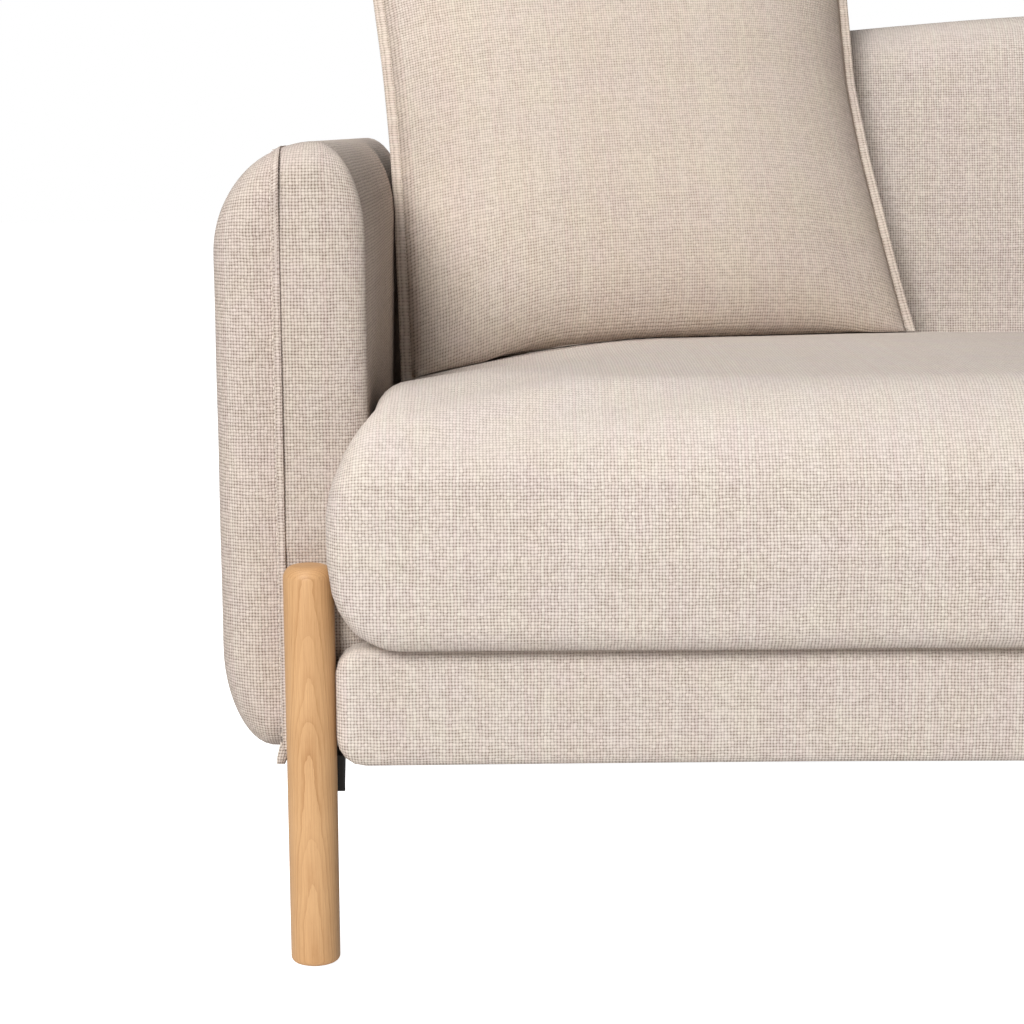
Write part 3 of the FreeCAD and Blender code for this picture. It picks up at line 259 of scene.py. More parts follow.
def ribbed(name, light, dark, pitch, axis):
    """Woven strap or zip tape: fine ribs across one axis."""
    s = Shading(name)
    place = s.coords("Object")
    along = s.separate(place)["xyz".index(axis)]
    wave = s.math("SINE", along * (2 * math.pi / pitch))
    d = s.math("MULTIPLY_ADD", s.noise(place, 900.0), 0.5, s.remap(wave, -1.0, 1.0, 0.0, 0.5), clamp=True)
    s.bump(wave, 0.4, 0.3 * MM)
    s.set(Base_Color=s.mix(d, light, dark), Roughness=0.85)
    return s.material


FABRIC = woven("woven_fabric", (0.745, 0.672, 0.612), (0.20, 0.150, 0.115))
# a darker copy of the seat fabric for the arms: painted shade for the arms lying dimmer under the light than
# the seat and base
SHADED_ARM_FABRIC = woven("woven_fabric_arm", (0.660, 0.578, 0.515), (0.17, 0.122, 0.090))
PILLOW_FABRIC = woven("woven_fabric_pillow", (0.730, 0.640, 0.560), (0.24, 0.180, 0.130), 0.85)
THREAD = speckled("stitch_thread", (0.82, 0.73, 0.64), (0.60, 0.50, 0.42), 2500.0, 0.8, 0.05 * MM)
OAK = oak("oiled_oak")
FELT = speckled("felt", (0.030, 0.028, 0.026), (0.012, 0.011, 0.010), 2500.0, 0.95, 0.3 * MM, specular=0.2)
BLACK_STEEL = speckled("black_steel", (0.022, 0.020, 0.019), (0.012, 0.011, 0.010), 1400.0, 0.45, 0.08 * MM)
ZINC = speckled("zinc_steel", (0.62, 0.62, 0.60), (0.46, 0.46, 0.45), 500.0, 0.35, 0.05 * MM, metallic=1.0)
FOAM = speckled("foam", (0.80, 0.74, 0.58), (0.66, 0.60, 0.45), 900.0, 0.95, 0.8 * MM, specular=0.2)
FIBRE = speckled("fibre_fill", (0.88, 0.87, 0.84), (0.72, 0.71, 0.68), 400.0, 0.95, 1.2 * MM, specular=0.2)
DUST = speckled("dust_cloth", (0.030, 0.030, 0.032), (0.010, 0.010, 0.011), 1800.0, 0.9, 0.25 * MM,
                specular=0.2)
DECK = speckled("deck_cloth", (0.62, 0.56, 0.49), (0.48, 0.43, 0.37), 1300.0, 0.92, 0.3 * MM, specular=0.2)
HARDBOARD = speckled("hardboard", (0.27, 0.165, 0.09), (0.16, 0.095, 0.05), 700.0, 0.7, 0.1 * MM)
WEBBING = ribbed("webbing", (0.16, 0.14, 0.12), (0.045, 0.04, 0.035), 2.0 * MM, "z")
ZIP_TAPE = ribbed("zip_tape", (0.60, 0.51, 0.43), (0.32, 0.26, 0.21), 1.6 * MM, "x")
ZIP_METAL = speckled("zip_metal", (0.55, 0.52, 0.46), (0.36, 0.34, 0.30), 900.0, 0.3, 0.04 * MM, metallic=1.0)
PINE = ((0.68, 0.47, 0.28), (0.47, 0.29, 0.15))
TIMBER_X = timber("frame_timber_x", *PINE, "x")
TIMBER_Y = timber("frame_timber_y", *PINE, "y")
TIMBER_Z = timber("frame_timber_z", *PINE, "z")

# ---------------------------------------------------------------- mesh helpers


def smoothstep(x, a, b):
    t = np.clip((np.asarray(x, float) - a) / (b - a), 0.0, 1.0)
    return t * t * (3 - 2 * t)


def plain_object(name, verts, faces, uvs=None):
    """A smooth mesh object in the scene, with uvs as its Weave layer."""
    mesh = bpy.data.meshes.new(name)
    mesh.from_pydata([tuple(v) for v in verts], [], faces)
    if uvs is not None:
        layer = mesh.uv_layers.new(name="Weave")
        layer.data.foreach_set("uv", np.asarray(uvs, dtype=np.float32).ravel())
    mesh.polygons.foreach_set("use_smooth", [True] * len(mesh.polygons))
    mesh.validate()
    mesh.update()
    piece = bpy.data.objects.new(name, mesh)
    bpy.context.scene.collection.objects.link(piece)
    return piece


def build(name, verts, faces, uvs, material, nodes, body="frame", slot="woven_fabric", at=(0, 0, 0)):
    """A piece of the visual model: uvs lists one (u, v) in metres for each corner of each face."""
    piece = plain_object(name, verts, faces, uvs)
    piece.data.materials.append(material)
    piece.location = at
    bpy.context.view_layer.update()
    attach(piece, body)
    if nodes:
        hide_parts(*nodes)
    return piece


def resample(points, step):
    """A closed polyline with evenly spaced points."""
    points = np.asarray(points, float)
    ring = np.vstack([points, points[:1]])
    seg = np.linalg.norm(np.diff(ring, axis=0), axis=1)
    run = np.concatenate([[0], np.cumsum(seg)])
    count = max(int(round(run[-1] / step)), 8)
    at = np.linspace(0, run[-1], count, endpoint=False)
    return np.column_stack([np.interp(at, run, ring[:, 0]), np.interp(at, run, ring[:, 1])])


def anticlockwise(ring):
    area = 0.5 * np.sum(ring[:, 0] * np.roll(ring[:, 1], -1) - np.roll(ring[:, 0], -1) * ring[:, 1])
    return ring[::-1] if area < 0 else ring


def unit_tangents(ring):
    tangent = np.roll(ring, -1, axis=0) - np.roll(ring, 1, axis=0)
    return tangent / np.linalg.norm(tangent, axis=1)[:, None]


def inward_normals(ring):
    tangent = unit_tangents(ring)
    return np.column_stack([-tangent[:, 1], tangent[:, 0]])


def run_lengths(ring):
    """Distance along a closed ring at each point, and at its end."""
    return np.concatenate([[0], np.cumsum(np.linalg.norm(np.roll(ring, -1, axis=0) - ring, axis=1))])


def quarter(cx, cz, ax, az, start, end, count=24):
    """Points of an elliptical arc, angles in degrees."""
    t = np.radians(np.linspace(start, end, count))
    return np.column_stack([cx + ax * np.cos(t), cz + az * np.sin(t)])


def nearest(points, ring):
    """Distance from points to a closed polyline, and the unit vector from the foot to each point."""
    best = np.full(len(points), 1e9)
    foot = np.zeros_like(points)
    for p, q in zip(ring, np.roll(ring, -1, axis=0)):
        d = q - p
        t = np.clip(((points - p) @ d) / max(d @ d, 1e-18), 0, 1)
        f = p + t[:, None] * d
        dist = np.linalg.norm(points - f, axis=1)
        closer = dist < best
        best[closer] = dist[closer]
        foot[closer] = f[closer]
    away = points - foot
    return best, away / np.maximum(np.linalg.norm(away, axis=1), 1e-9)[:, None]


def inside(points, ring):
    """Which points lie inside a closed polyline."""
    x, y = points[:, 0], points[:, 1]
    result = np.zeros(len(points), bool)
    for (x1, y1), (x2, y2) in zip(ring, np.roll(ring, -1, axis=0)):
        if y1 != y2:
            result ^= ((y1 > y) != (y2 > y)) & (x < (x2 - x1) * (y - y1) / (y2 - y1) + x1)
    return result


def staggered(ring, step):
    """Points of a triangular grid over a ring's box, and their distance from the ring."""
    low, high = ring.min(axis=0), ring.max(axis=0)
    xs = np.arange(low[0], high[0], step)
    ys = np.arange(low[1], high[1], step * 0.87)
    grid = np.array([(x + (0.5 * step if j % 2 else 0.0), y) for j, y in enumerate(ys) for x in xs])
    return grid, nearest(grid, ring)[0]


def triangulate(flat, count):
    """Anticlockwise triangles over points whose first count are the boundary, and its new numbers."""
    edges = [(i, (i + 1) % count) for i in range(count)]
    out = geometry.delaunay_2d_cdt([Vector(p) for p in flat], edges, [], 1, 1e-7)
    points = np.array([tuple(p) for p in out[0]])
    order = {}
    for new, originals in enumerate(out[3]):
        for original in originals:
            order[original] = new
    tris = []
    for a, b, c in out[2]:
        p, q, s = points[a], points[b], points[c]
        turn = (q[0] - p[0]) * (s[1] - p[1]) - (q[1] - p[1]) * (s[0] - p[0])
        tris.append((a, b, c) if turn > 0 else (a, c, b))
    return points, tris, [order[i] for i in range(count)]


def cells(rows, cols, round_rows=False, round_cols=False):
    """Quads of a grid of points, as (row, column) corners before wrapping and as vertex numbers."""
    corners, faces = [], []
    for r in range(rows - (not round_rows)):
        for c in range(cols - (not round_cols)):
            cell = ((r, c), (r, c + 1), (r + 1, c + 1), (r + 1, c))
            corners.append(cell)
            faces.append(tuple(i % rows * cols + j % cols for i, j in cell))
    return corners, faces


def slab(outline, thick, edge, step, belt_step, crown=0.0, columns=()):
    """A padded slab: rounded front and rear faces over an outline, and the belt between them.

    Returns positions (a, b, c) with c running from the front face to the rear, the faces, and
    the weave coordinates of each corner. columns lists extra upright lines of points."""
    ring = anticlockwise(resample(outline, step))
    count = len(ring)
    inward = inward_normals(ring)
    layers = [ring]
    for angle in (12, 25, 38, 51, 64, 77, 90):
        inset = edge * (1 - math.sin(math.radians(90 - angle)))
        moved = ring + inward * inset
        layers.append(moved[nearest(moved, ring)[0] > inset - 0.02 * edge - 1e-6])
    grid, dist = staggered(ring, step)
    keep = inside(grid, ring) & (dist > edge + 0.55 * step)
    for column in columns:
        keep &= abs(grid[:, 0] - column) > 0.6 * step
    layers.append(grid[keep])
    for column in columns:
        line = np.array([(column, y) for y in np.arange(ring[:, 1].min(), ring[:, 1].max(), step * 0.8)])
        layers.append(line[inside(line, ring) & (nearest(line, ring)[0] > edge * 0.15)])
    flat, tris, boundary = triangulate(np.vstack(layers), count)
    boundary = np.array(boundary)
    dist, away = nearest(flat, ring)
    dist[boundary] = 0.0
    ratio = np.clip(1 - dist / edge, 0, 1)
    depth = edge - edge * np.sqrt(1 - ratio ** 2) - crown * smoothstep(dist, 0, max(edge * 2.5, 1e-6))
    shift = -away * (edge * (np.arcsin(ratio) - ratio))[:, None]
    shift[boundary] = -inward * edge * (math.pi / 2 - 1)
    cap_uv = flat + shift
    n = len(flat)
    verts = [np.column_stack([flat, depth]), np.column_stack([flat, thick - depth])]
    faces, uvs = [], []
    for a, b, c in tris:
        faces += [(a, b, c), (a + n, c + n, b + n)]
        uvs += [cap_uv[i] for i in (a, b, c, a, c, b)]
    run = run_lengths(ring)
    rows = max(int(round((thick - 2 * edge) / belt_step)), 1)
    levels = np.linspace(edge, thick - edge, rows + 1)
    index = [boundary]
    for k, level in enumerate(levels[1:-1]):
        verts.append(np.column_stack([ring, np.full(count, level)]))
        index.append(2 * n + k * count + np.arange(count))
    index.append(boundary + n)
    phase = ring[0, 1]
    for row in range(rows):
        near, far = index[row], index[row + 1]
        for i in range(count):
            j = (i + 1) % count
            faces.append((near[j], near[i], far[i], far[j]))
            uvs += [(levels[row + k], phase - run[i + m]) for k, m in ((0, 1), (0, 0), (1, 0), (1, 1))]
    return np.vstack(verts), faces, uvs


def ripple(points, amount, scale, seed):
    """A smooth random offset along one direction, for the unevenness of padding."""
    rng = np.random.default_rng(seed)
    total = np.zeros(len(points))
    for k in range(10):
        direction = rng.normal(size=3)
        direction /= np.linalg.norm(direction)
        frequency = 2 * math.pi / (scale * rng.uniform(0.6, 1.8))
        total += np.sin(points @ direction * frequency + rng.uniform(0, 6.28))
    return total * amount / 3.2


def mirror_x(verts, faces, uvs):
    """The same mesh on the other side of the sofa."""
    new_uvs, at = [], 0
    for face in faces if uvs is not None else ():
        new_uvs += list(reversed(uvs[at:at + len(face)]))
        at += len(face)
    return np.array(verts) * (-1, 1, 1), [tuple(reversed(face)) for face in faces], new_uvs or None


def both_sides(part, verts, faces, uvs, material, parts=(), body="frame", slot="woven_fabric"):
    """Build a left piece and its right mirror image. parts are node names without left_ or right_."""
    shapes = {"left": (verts, faces, uvs), "right": mirror_x(verts, faces, uvs)}
    return [build(side + "_" + part + "_visual", *shape, material, [side + "_" + p for p in parts],
                  body.replace("SIDE", side), slot) for side, shape in shapes.items()]


# ---------------------------------------------------------------- legs

LEG_SIDES = 72


def leg_profile(radius_foot, radius_top, height, foot, crown):
    """(radius, height) up a turned post: a small recess below, a rounded foot and a rounded top."""
    profile = [(0.0125, 0.0022), (0.0125, 0.0002), (0.0135, 0.0)]
    for k in range(7):
        angle = math.radians(-90 + 15 * k)
        profile.append((radius_foot - foot + foot * math.cos(angle), foot + foot * math.sin(angle)))
    for k in range(1, 8):
        share = k / 8
        profile.append((radius_foot + (radius_top - radius_foot) * share,
                        foot + (height - crown - foot) * share))
    for k in range(10):
        angle = math.radians(10 * k)
        profile.append((radius_top - crown + crown * math.cos(angle),
                        height - crown + crown * math.sin(angle)))
    return profile


for name in ("front_left_leg", "front_right_leg", "rear_left_leg", "rear_right_leg"):
    low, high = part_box(name)
    profile = leg_profile(0.0178, 0.0182, high[2] - low[2], 0.004, 0.009)
    turns = [2 * math.pi * k / LEG_SIDES for k in range(LEG_SIDES)]
    verts = [(radius * math.cos(t), radius * math.sin(t), height)
             for radius, height in profile for t in turns]
    faces = cells(len(profile), LEG_SIDES, round_cols=True)[1]
    faces.append(tuple(reversed(range(LEG_SIDES))))
    faces.append(tuple(range(len(verts) - LEG_SIDES, len(verts))))
    build(name + "_visual", verts, faces, None, OAK, [name], slot="oak",
          at=((low[0] + high[0]) / 2, (low[1] + high[1]) / 2, low[2]))

# ---------------------------------------------------------------- arms

outer_low, outer_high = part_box("left_arm_outer_pad")
inner_low, inner_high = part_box("left_arm_inner_pad")
leg_low, leg_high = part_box("front_left_leg")
ARM_X0, ARM_X1 = outer_low[0], inner_high[0]
ARM_Y0, ARM_Y1 = outer_low[1], outer_high[1]
ARM_Z0, ARM_Z1 = inner_low[2], inner_high[2]
ARM_W, ARM_H, ARM_L = ARM_X1 - ARM_X0, ARM_Z1 - ARM_Z0, ARM_Y1 - ARM_Y0
SEAM = outer_high[0] - ARM_X0 + 3.5 * MM
ARM_EDGE = 0.028
FACE_CROWN = 0.003
# the crown peaks at this distance in from the outer face, with a fuller shoulder outside it
CROWN_AT, SHOULDER_OUT, SHOULDER_IN = 0.0735, 0.080, 0.070


def arm_outline():
    """Cross-section of the arm seen from the front: a leaning crown and a fuller outer shoulder."""
    return np.vstack([
        quarter(0.038, 0.075, 0.038, 0.075, 180, 270),
        quarter(ARM_W - 0.026, 0.026, 0.026, 0.026, 270, 360),
        quarter(CROWN_AT, ARM_H - SHOULDER_IN, ARM_W - CROWN_AT, SHOULDER_IN, 0, 90),
        quarter(CROWN_AT, ARM_H - SHOULDER_OUT, CROWN_AT, SHOULDER_OUT, 90, 180),
    ])


groove_columns = [SEAM + k * MM for k in (-6, -3, -1.2, 0.0, 1.2, 3, 6)]
verts, faces, uvs = slab(arm_outline(), ARM_L, ARM_EDGE, 5.5 * MM, 9 * MM, FACE_CROWN, groove_columns)
a, b, c = verts[:, 0], verts[:, 1], verts[:, 2]
# padding pulls down to the seam line that runs round the arm
groove = np.exp(-((a - SEAM) / (3.2 * MM)) ** 2) * 0.1 * MM + np.exp(-((a - SEAM) / (14 * MM)) ** 2) * MM
on_front = smoothstep(-c, -0.05, -0.01)
on_rear = smoothstep(c, ARM_L - 0.05, ARM_L - 0.01)
c = c + groove * on_front - groove * on_rear
on_top = smoothstep(b, ARM_H - 0.06, ARM_H - 0.02) * (1 - on_front) * (1 - on_rear)
b = b - groove * on_top
sag = ripple(np.column_stack([a, b, c]), 0.9 * MM, 0.16, 3)
side_push = np.where(a < ARM_W / 2, -1.0, 1.0) * smoothstep(abs(a - ARM_W / 2), 0.02, 0.05)
swell = np.where(a < ARM_W / 2, -3.0 * MM, 1.8 * MM * np.sin(np.clip(b / ARM_H, 0, 1) * math.pi))
belly = (swell + sag) * side_push
# the face stays flat almost to the inner edge, where it turns sharply
turn_in = smoothstep(a, ARM_W - 0.036, ARM_W - 0.010) * smoothstep(-c, -0.11, -0.032)
c = c * (1 - 0.62 * turn_in)
a = a + belly * smoothstep(np.minimum(c, ARM_L - c), 0.0, 0.12)
c = c - ripple(np.column_stack([a, b, c * 0]), 0.8 * MM, 0.09, 5) * on_front
# clear of the back and the cushion on the inside, and pressed flat behind and before the legs
a = np.minimum(a, ARM_W + 1.5 * MM)
leg_a, leg_top = (leg_low[0] + leg_high[0]) / 2 - ARM_X0, leg_high[2] - ARM_Z0
at_leg = (1 - smoothstep(abs(a - leg_a), 0.018, 0.032)) * (1 - smoothstep(b, leg_top, leg_top + 0.014))
c = c + (np.clip(c, -0.3 * MM, ARM_L + 0.3 * MM) - c) * at_leg
arm_verts = np.column_stack([a + ARM_X0, c + ARM_Y0, b + ARM_Z0])
for piece in both_sides("arm", arm_verts, faces, uvs, SHADED_ARM_FABRIC, ["arm_outer_pad", "arm_inner_pad"]):
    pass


def arm_top(x):
    """Height of the arm's crown above its underside, at a distance in from the outer face."""
    tall, wide = (SHOULDER_OUT, CROWN_AT) if x < CROWN_AT else (SHOULDER_IN, ARM_W - CROWN_AT)
    return ARM_H - tall + tall * math.sqrt(max(1 - ((x - CROWN_AT) / wide) ** 2, 0))


def arm_path(x, start):
    """Points and outward normals round the arm at one x: up the front, along the top, down the rear."""
    top, edge = arm_top(x), ARM_EDGE
    points = [(-FACE_CROWN, z, -1.0, 0.0) for z in np.arange(start, top - edge, 3.5 * MM)]
    turns = [(math.cos(t), math.sin(t)) for t in np.radians(np.linspace(0, 90, 13))]
    points += [(edge - (edge + FACE_CROWN) * k, top - edge + edge * s, -k, s) for k, s in turns]
    points += [(y, top, 0.0, 1.0) for y in np.arange(edge + 4 * MM, ARM_L - edge, 4.5 * MM)]
    points += [(ARM_L - edge + (edge + FACE_CROWN) * s, top - edge + edge * k, s, k) for k, s in turns]
    points += [(ARM_L + FACE_CROWN, z, 1.0, 0.0) for z in np.arange(top - edge - 3.5 * MM, start, -3.5 * MM)]
    return points


def ribbon():
    """The flat top-stitched flange beside the arm's seam, a folded band about 5 mm wide."""
    # millimetres across the band, and above the cloth under it
    section = [(0.2, -1.6), (0.3, 0.0), (0.9, 0.4), (2.2, 0.5), (3.8, 0.8), (4.9, 1.0),
               (5.4, 0.5), (5.6, -1.8)]
    left = SEAM - 5.4 * MM
    paths = [arm_path(left + dx * MM, 0.004) for dx, _ in section]
    count = min(len(p) for p in paths)
    sway = np.cumsum(np.random.default_rng(11).normal(size=count)) * 0.03
    sway -= np.linspace(sway[0], sway[-1], count)
    verts = []
    for i in range(count):
        wave = 1 + 0.10 * math.sin(i * 0.9) + 0.06 * math.sin(i * 2.3)
        for (dx, lift), path in zip(section, paths):
            y, z, ny, nz = path[int(round(i / (count - 1) * (len(path) - 1)))]
            h = lift * wave * MM
            verts.append((ARM_X0 + left + (dx + sway[i]) * MM, ARM_Y0 + y + ny * h, ARM_Z0 + z + nz * h))
    corners, faces = cells(count, len(section))
    uvs = [(k * 1.1 * MM + 0.0012, i * 3.7 * MM) for cell in corners for i, k in cell]
    return np.array(verts), faces, uvs


both_sides("arm_flange", *ribbon(), SHADED_ARM_FABRIC, ["arm_flange"])


def stitches(points, length, radius, spacing):
    """Short raised threads along a path of (position, direction, normal)."""
    verts, faces = [], []
    run = next_at = 0.0
    last = points[0][0]
    thread = cells(5, 6, round_cols=True)[1] + [tuple(reversed(range(6))), tuple(range(24, 30))]
    for position, direction, normal in points:
        run += (position - last).length
        last = position
        if run < next_at:
            continue
        next_at = run + spacing
        side = direction.cross(normal).normalized()
        faces += [tuple(len(verts) + i for i in face) for face in thread]
        for t, r in ((-0.5, 0.2), (-0.3, 0.85), (0.0, 1.0), (0.3, 0.85), (0.5, 0.2)):
            for q in range(6):
                angle = q * math.pi / 3
                offset = side * math.cos(angle) * radius * r + normal * math.sin(angle) * radius * r
                verts.append(tuple(position + direction * t * length + offset))
    return np.array(verts), faces


def arm_stitch_path():
    x = SEAM - 5.9 * MM
    path = arm_path(x, 0.008)
    out = []
    for (y, z, ny, nz), (y2, z2, _, _) in zip(path, path[1:]):
        here = Vector((ARM_X0 + x, ARM_Y0 + y + ny * 0.5 * MM, ARM_Z0 + z + nz * 0.5 * MM))
        there = Vector((ARM_X0 + x, ARM_Y0 + y2, ARM_Z0 + z2))
        out.append((here, (there - here).normalized(), Vector((0, ny, nz))))
    return out


both_sides("arm_stitching", *stitches(arm_stitch_path(), 2.6 * MM, 0.45 * MM, 4.2 * MM), None, THREAD)


def flap():
    """The folded end of the flange that hangs just below the arm at the front."""
    width, tall = 8 * MM, 17 * MM
    cols, rows = 9, 12
    verts, faces, uvs = [], [], []
    corners, quads = cells(rows + 1, cols + 1)
    for side, bulge in ((0, -1), (1, 1)):
        base = len(verts)
        for t in np.arange(rows + 1) / rows:
            for s in np.arange(cols + 1) / cols * 2 - 1:
                swell = math.sqrt(max(1 - s ** 2, 0)) * math.sqrt(max(1 - max(t - 0.65, 0) ** 2 / 0.1225, 0))
                narrow = 1 - 0.25 * max(t - 0.7, 0) / 0.3
                x = SEAM - 3.0 * MM + s * width / 2 * narrow - t * 4.0 * MM
                y = -1.0 * MM + bulge * swell * 2.4 * MM + t * 1.5 * MM
                verts.append((ARM_X0 + x, ARM_Y0 + y, ARM_Z0 + 9 * MM - t * tall))
        turn = 1 if side else -1
        faces += [tuple(base + i for i in quad[::turn]) for quad in quads]
        uvs += [(i * MM, j * 1.4 * MM) for cell in corners for j, i in cell[::turn]]
    return np.array(verts), faces, uvs


both_sides("arm_flap", *flap(), SHADED_ARM_FABRIC)

# ---------------------------------------------------------------- seat base borders


def rounded_rectangle(width, height, radius):
    return np.vstack([
        quarter(radius, radius, radius, radius, 180, 270, 10),
        quarter(width - radius, radius, radius, radius, 270, 360, 10),
        quarter(width - radius, height - radius, radius, radius, 0, 90, 10),
        quarter(radius, height - radius, radius, radius, 90, 180, 10),
    ])


def border(node, flip, edge, seed):
    """One upholstered band of the seat base. flip turns its full face to the rear."""
    low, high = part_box(node)
    wide, thick, tall = (high[i] - low[i] for i in range(3))
    verts, faces, uvs = slab(rounded_rectangle(wide, tall, 0.020), thick, edge, 8 * MM, 6 * MM)
    a, b, c = verts[:, 0], verts[:, 1], verts[:, 2]
    c = c - ripple(np.column_stack([a, b * 2, c * 0]), 0.8 * MM, 0.22, seed) * smoothstep(-c, -thick / 2, 0)
    lift = ripple(np.column_stack([a, a * 0, a * 0]), 0.6 * MM, 0.45, seed + 1)
    b = b + lift * smoothstep(abs(b - tall / 2), 0.02, 0.04) + low[2]
    world = np.column_stack([high[0] - a, high[1] - c, b] if flip else [a + low[0], c + low[1], b])
    return build(node + "_visual", world, faces, uvs, FABRIC, [node])


for piece in (border("base_front_pad", False, 0.009, 21), border("base_rear_pad", True, 0.009, 23)):
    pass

# ---------------------------------------------------------------- back

front_low, front_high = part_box("back_front_pad")
BACK_HALF = front_high[0]
TILT = math.radians(11)
BACK_Y, BACK_Z, BACK_THICK = 0.1725, 0.238, 0.157
ARCH, SIDE_TALL, BACK_CORNER, LOW_CORNER = 5.03, 0.350, 0.070, 0.02


def back_outline():
    """Outline of the back in its own plane: straight sides and a long shallow arch."""
    drop = math.sqrt((ARCH - BACK_CORNER) ** 2 - (BACK_HALF - BACK_CORNER) ** 2)
    angle = math.degrees(math.atan2(drop, BACK_HALF - BACK_CORNER))
    inner = BACK_HALF - BACK_CORNER
    return np.vstack([
        quarter(-BACK_HALF + LOW_CORNER, LOW_CORNER, LOW_CORNER, LOW_CORNER, 180, 270, 8),
        quarter(BACK_HALF - LOW_CORNER, LOW_CORNER, LOW_CORNER, LOW_CORNER, 270, 360, 8),
        quarter(inner, SIDE_TALL, BACK_CORNER, BACK_CORNER, 0, angle, 14),
        quarter(0, SIDE_TALL - drop, ARCH, ARCH, angle, 180 - angle, 120),
        quarter(-inner, SIDE_TALL, BACK_CORNER, BACK_CORNER, 180 - angle, 180, 14),
    ])


verts, faces, uvs = slab(back_outline(), BACK_THICK, 0.044, 13 * MM, 9 * MM, 0.006)
u, v, w = verts[:, 0], verts[:, 1], verts[:, 2]
w = w - ripple(np.column_stack([u, v, w * 0]), 1.3 * MM, 0.30, 31) * smoothstep(-w, -0.08, 0)
# behind the bench cushion the face stays flat, so that the two do not meet
w = w + (np.maximum(w, 0.0) - w) * (1 - smoothstep(v, 0.19, 0.26))
up = BACK_Z - w * math.sin(TILT) + v * math.cos(TILT)
# the underside rests on the flat platform
world = np.column_stack([u, BACK_Y + w * math.cos(TILT) + v * math.sin(TILT), np.maximum(up, front_low[2])])
back = build("back_visual", world, faces, uvs, FABRIC, ["back_front_pad", "back_rear_pad"])

# ---------------------------------------------------------------- stuffed shapes


def bolster(section, half, end, step_x, step_ring):
    """A long stuffed form: one cross-section along X with quarter-round ends.

    section lists (y, z) anticlockwise. Returns vertices, faces and weave coordinates that run
    along X and round the section, so that the cloth wraps the ends without a join."""
    ring = anticlockwise(resample(section, step_ring))
    start = int(np.argmin(abs(ring[:, 0] - ring[:, 0].mean()) + 10 * (ring[:, 1] - ring[:, 1].min())))
    ring = np.roll(ring, -start, axis=0)
    count = len(ring)
    inward = inward_normals(ring)
    straight = half - end
    # x, how far the ring is drawn in, and the distance along the cloth
    left_end = [(-(straight + end * math.sin(t)), end * (1 - math.cos(t)), -(straight + end * t))
                for t in (math.radians(angle) for angle in (90, 75, 60, 45, 30, 15))]
    span = int(round(2 * straight / step_x))
    middle = [(-straight + 2 * straight * k / span, 0.0, -straight + 2 * straight * k / span)
              for k in range(span + 1)]
    stations = left_end + middle + [(-x, inset, -run) for x, inset, run in reversed(left_end)]
    verts = np.vstack([np.column_stack([np.full(count, x), ring + inward * inset])
                       for x, inset, _ in stations])
    run = run_lengths(ring)
    corners, faces = cells(len(stations), count, round_cols=True)
    uvs = [(stations[r][2], -run[k]) for cell in corners for r, k in cell]
    cap = ring + inward * end
    grid, dist = staggered(cap, step_ring * 1.2)
    grid = grid[inside(grid, cap) & (dist > 0.6 * step_ring * 1.2)]
    points, tris, order = triangulate(np.vstack([cap, grid]), count)
    on_ring = {new: i for i, new in enumerate(order)}
    for side, base in ((-1, 0), (1, (len(stations) - 1) * count)):
        index, extra = {}, []
        for n, p in enumerate(points):
            if n in on_ring:
                index[n] = base + on_ring[n]
            else:
                index[n] = len(verts) + len(extra)
                extra.append((side * half, p[0], p[1]))
        verts = np.vstack([verts, np.array(extra)])
        for tri in tris:
            faces.append(tuple(index[n] for n in tri[::side]))
            uvs += [tuple(points[n]) for n in tri[::side]]
    return verts, faces, uvs, (len(stations), count, run)


def measured_uvs(verts, uvs, layout):
    """Weave coordinates that follow the true length of the cloth along each line of the form."""
    stations, count, run = layout
    lines = np.asarray(verts)[:stations * count].reshape(stations, count, 3)
    steps = np.linalg.norm(np.diff(lines, axis=0), axis=2)
    along = np.vstack([np.zeros((1, count)), np.cumsum(steps, axis=0)])
    along -= along[stations // 2]
    corners = cells(stations, count, round_cols=True)[0]
    measured = [(along[r, k % count], -run[k]) for cell in corners for r, k in cell]
    return measured + list(uvs[len(measured):])


def relax(verts, faces, pressure, limit, stiffness, bending, pins, mass=0.4):
    """Blows a closed mesh up like a filled cover with the cloth solver. No point moves past limit."""
    frames = 20
    piece = plain_object("relaxing", verts, faces)
    rest = np.array([tuple(v.co) for v in piece.data.vertices])
    group = piece.vertex_groups.new(name="held")
    for index, weight in pins:
        group.add([int(index)], float(weight), "REPLACE")
    cloth = piece.modifiers.new("Cloth", "CLOTH")
    settings = cloth.settings
    settings.quality = 6
    settings.mass = mass
    settings.tension_stiffness = stiffness
    settings.compression_stiffness = stiffness
    settings.shear_stiffness = stiffness * 0.4
    settings.bending_stiffness = bending
    settings.use_pressure = True
    settings.uniform_pressure_force = pressure
    settings.effector_weights.gravity = 0.0
    settings.air_damping = 3.0
    settings.vertex_group_mass = "held"
    settings.pin_stiffness = 1.0
    cloth.collision_settings.use_collision = False
    cloth.point_cache.frame_start = 1
    cloth.point_cache.frame_end = frames
    scene = bpy.context.scene
    for frame_number in range(1, frames + 1):
        scene.frame_set(frame_number)
    shape = piece.evaluated_get(bpy.context.evaluated_depsgraph_get())
    step = np.array([tuple(v.co) for v in shape.data.vertices]) - rest
    bpy.data.objects.remove(piece)
    scene.frame_set(1)
    length = np.linalg.norm(step, axis=1)
    return rest + step * np.minimum(1.0, limit / np.maximum(length, 1e-9))[:, None]


# ---------------------------------------------------------------- seat cushion

cover_low, cover_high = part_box("seat_cushion_cover")
SEAT_HALF = 0.886
SEAT_FRONT, SEAT_BOTTOM = cover_low[1], cover_low[2]
SEAT_REAR = 0.162
SEAT_LOBE = cover_high[0] - SEAT_HALF + 0.001


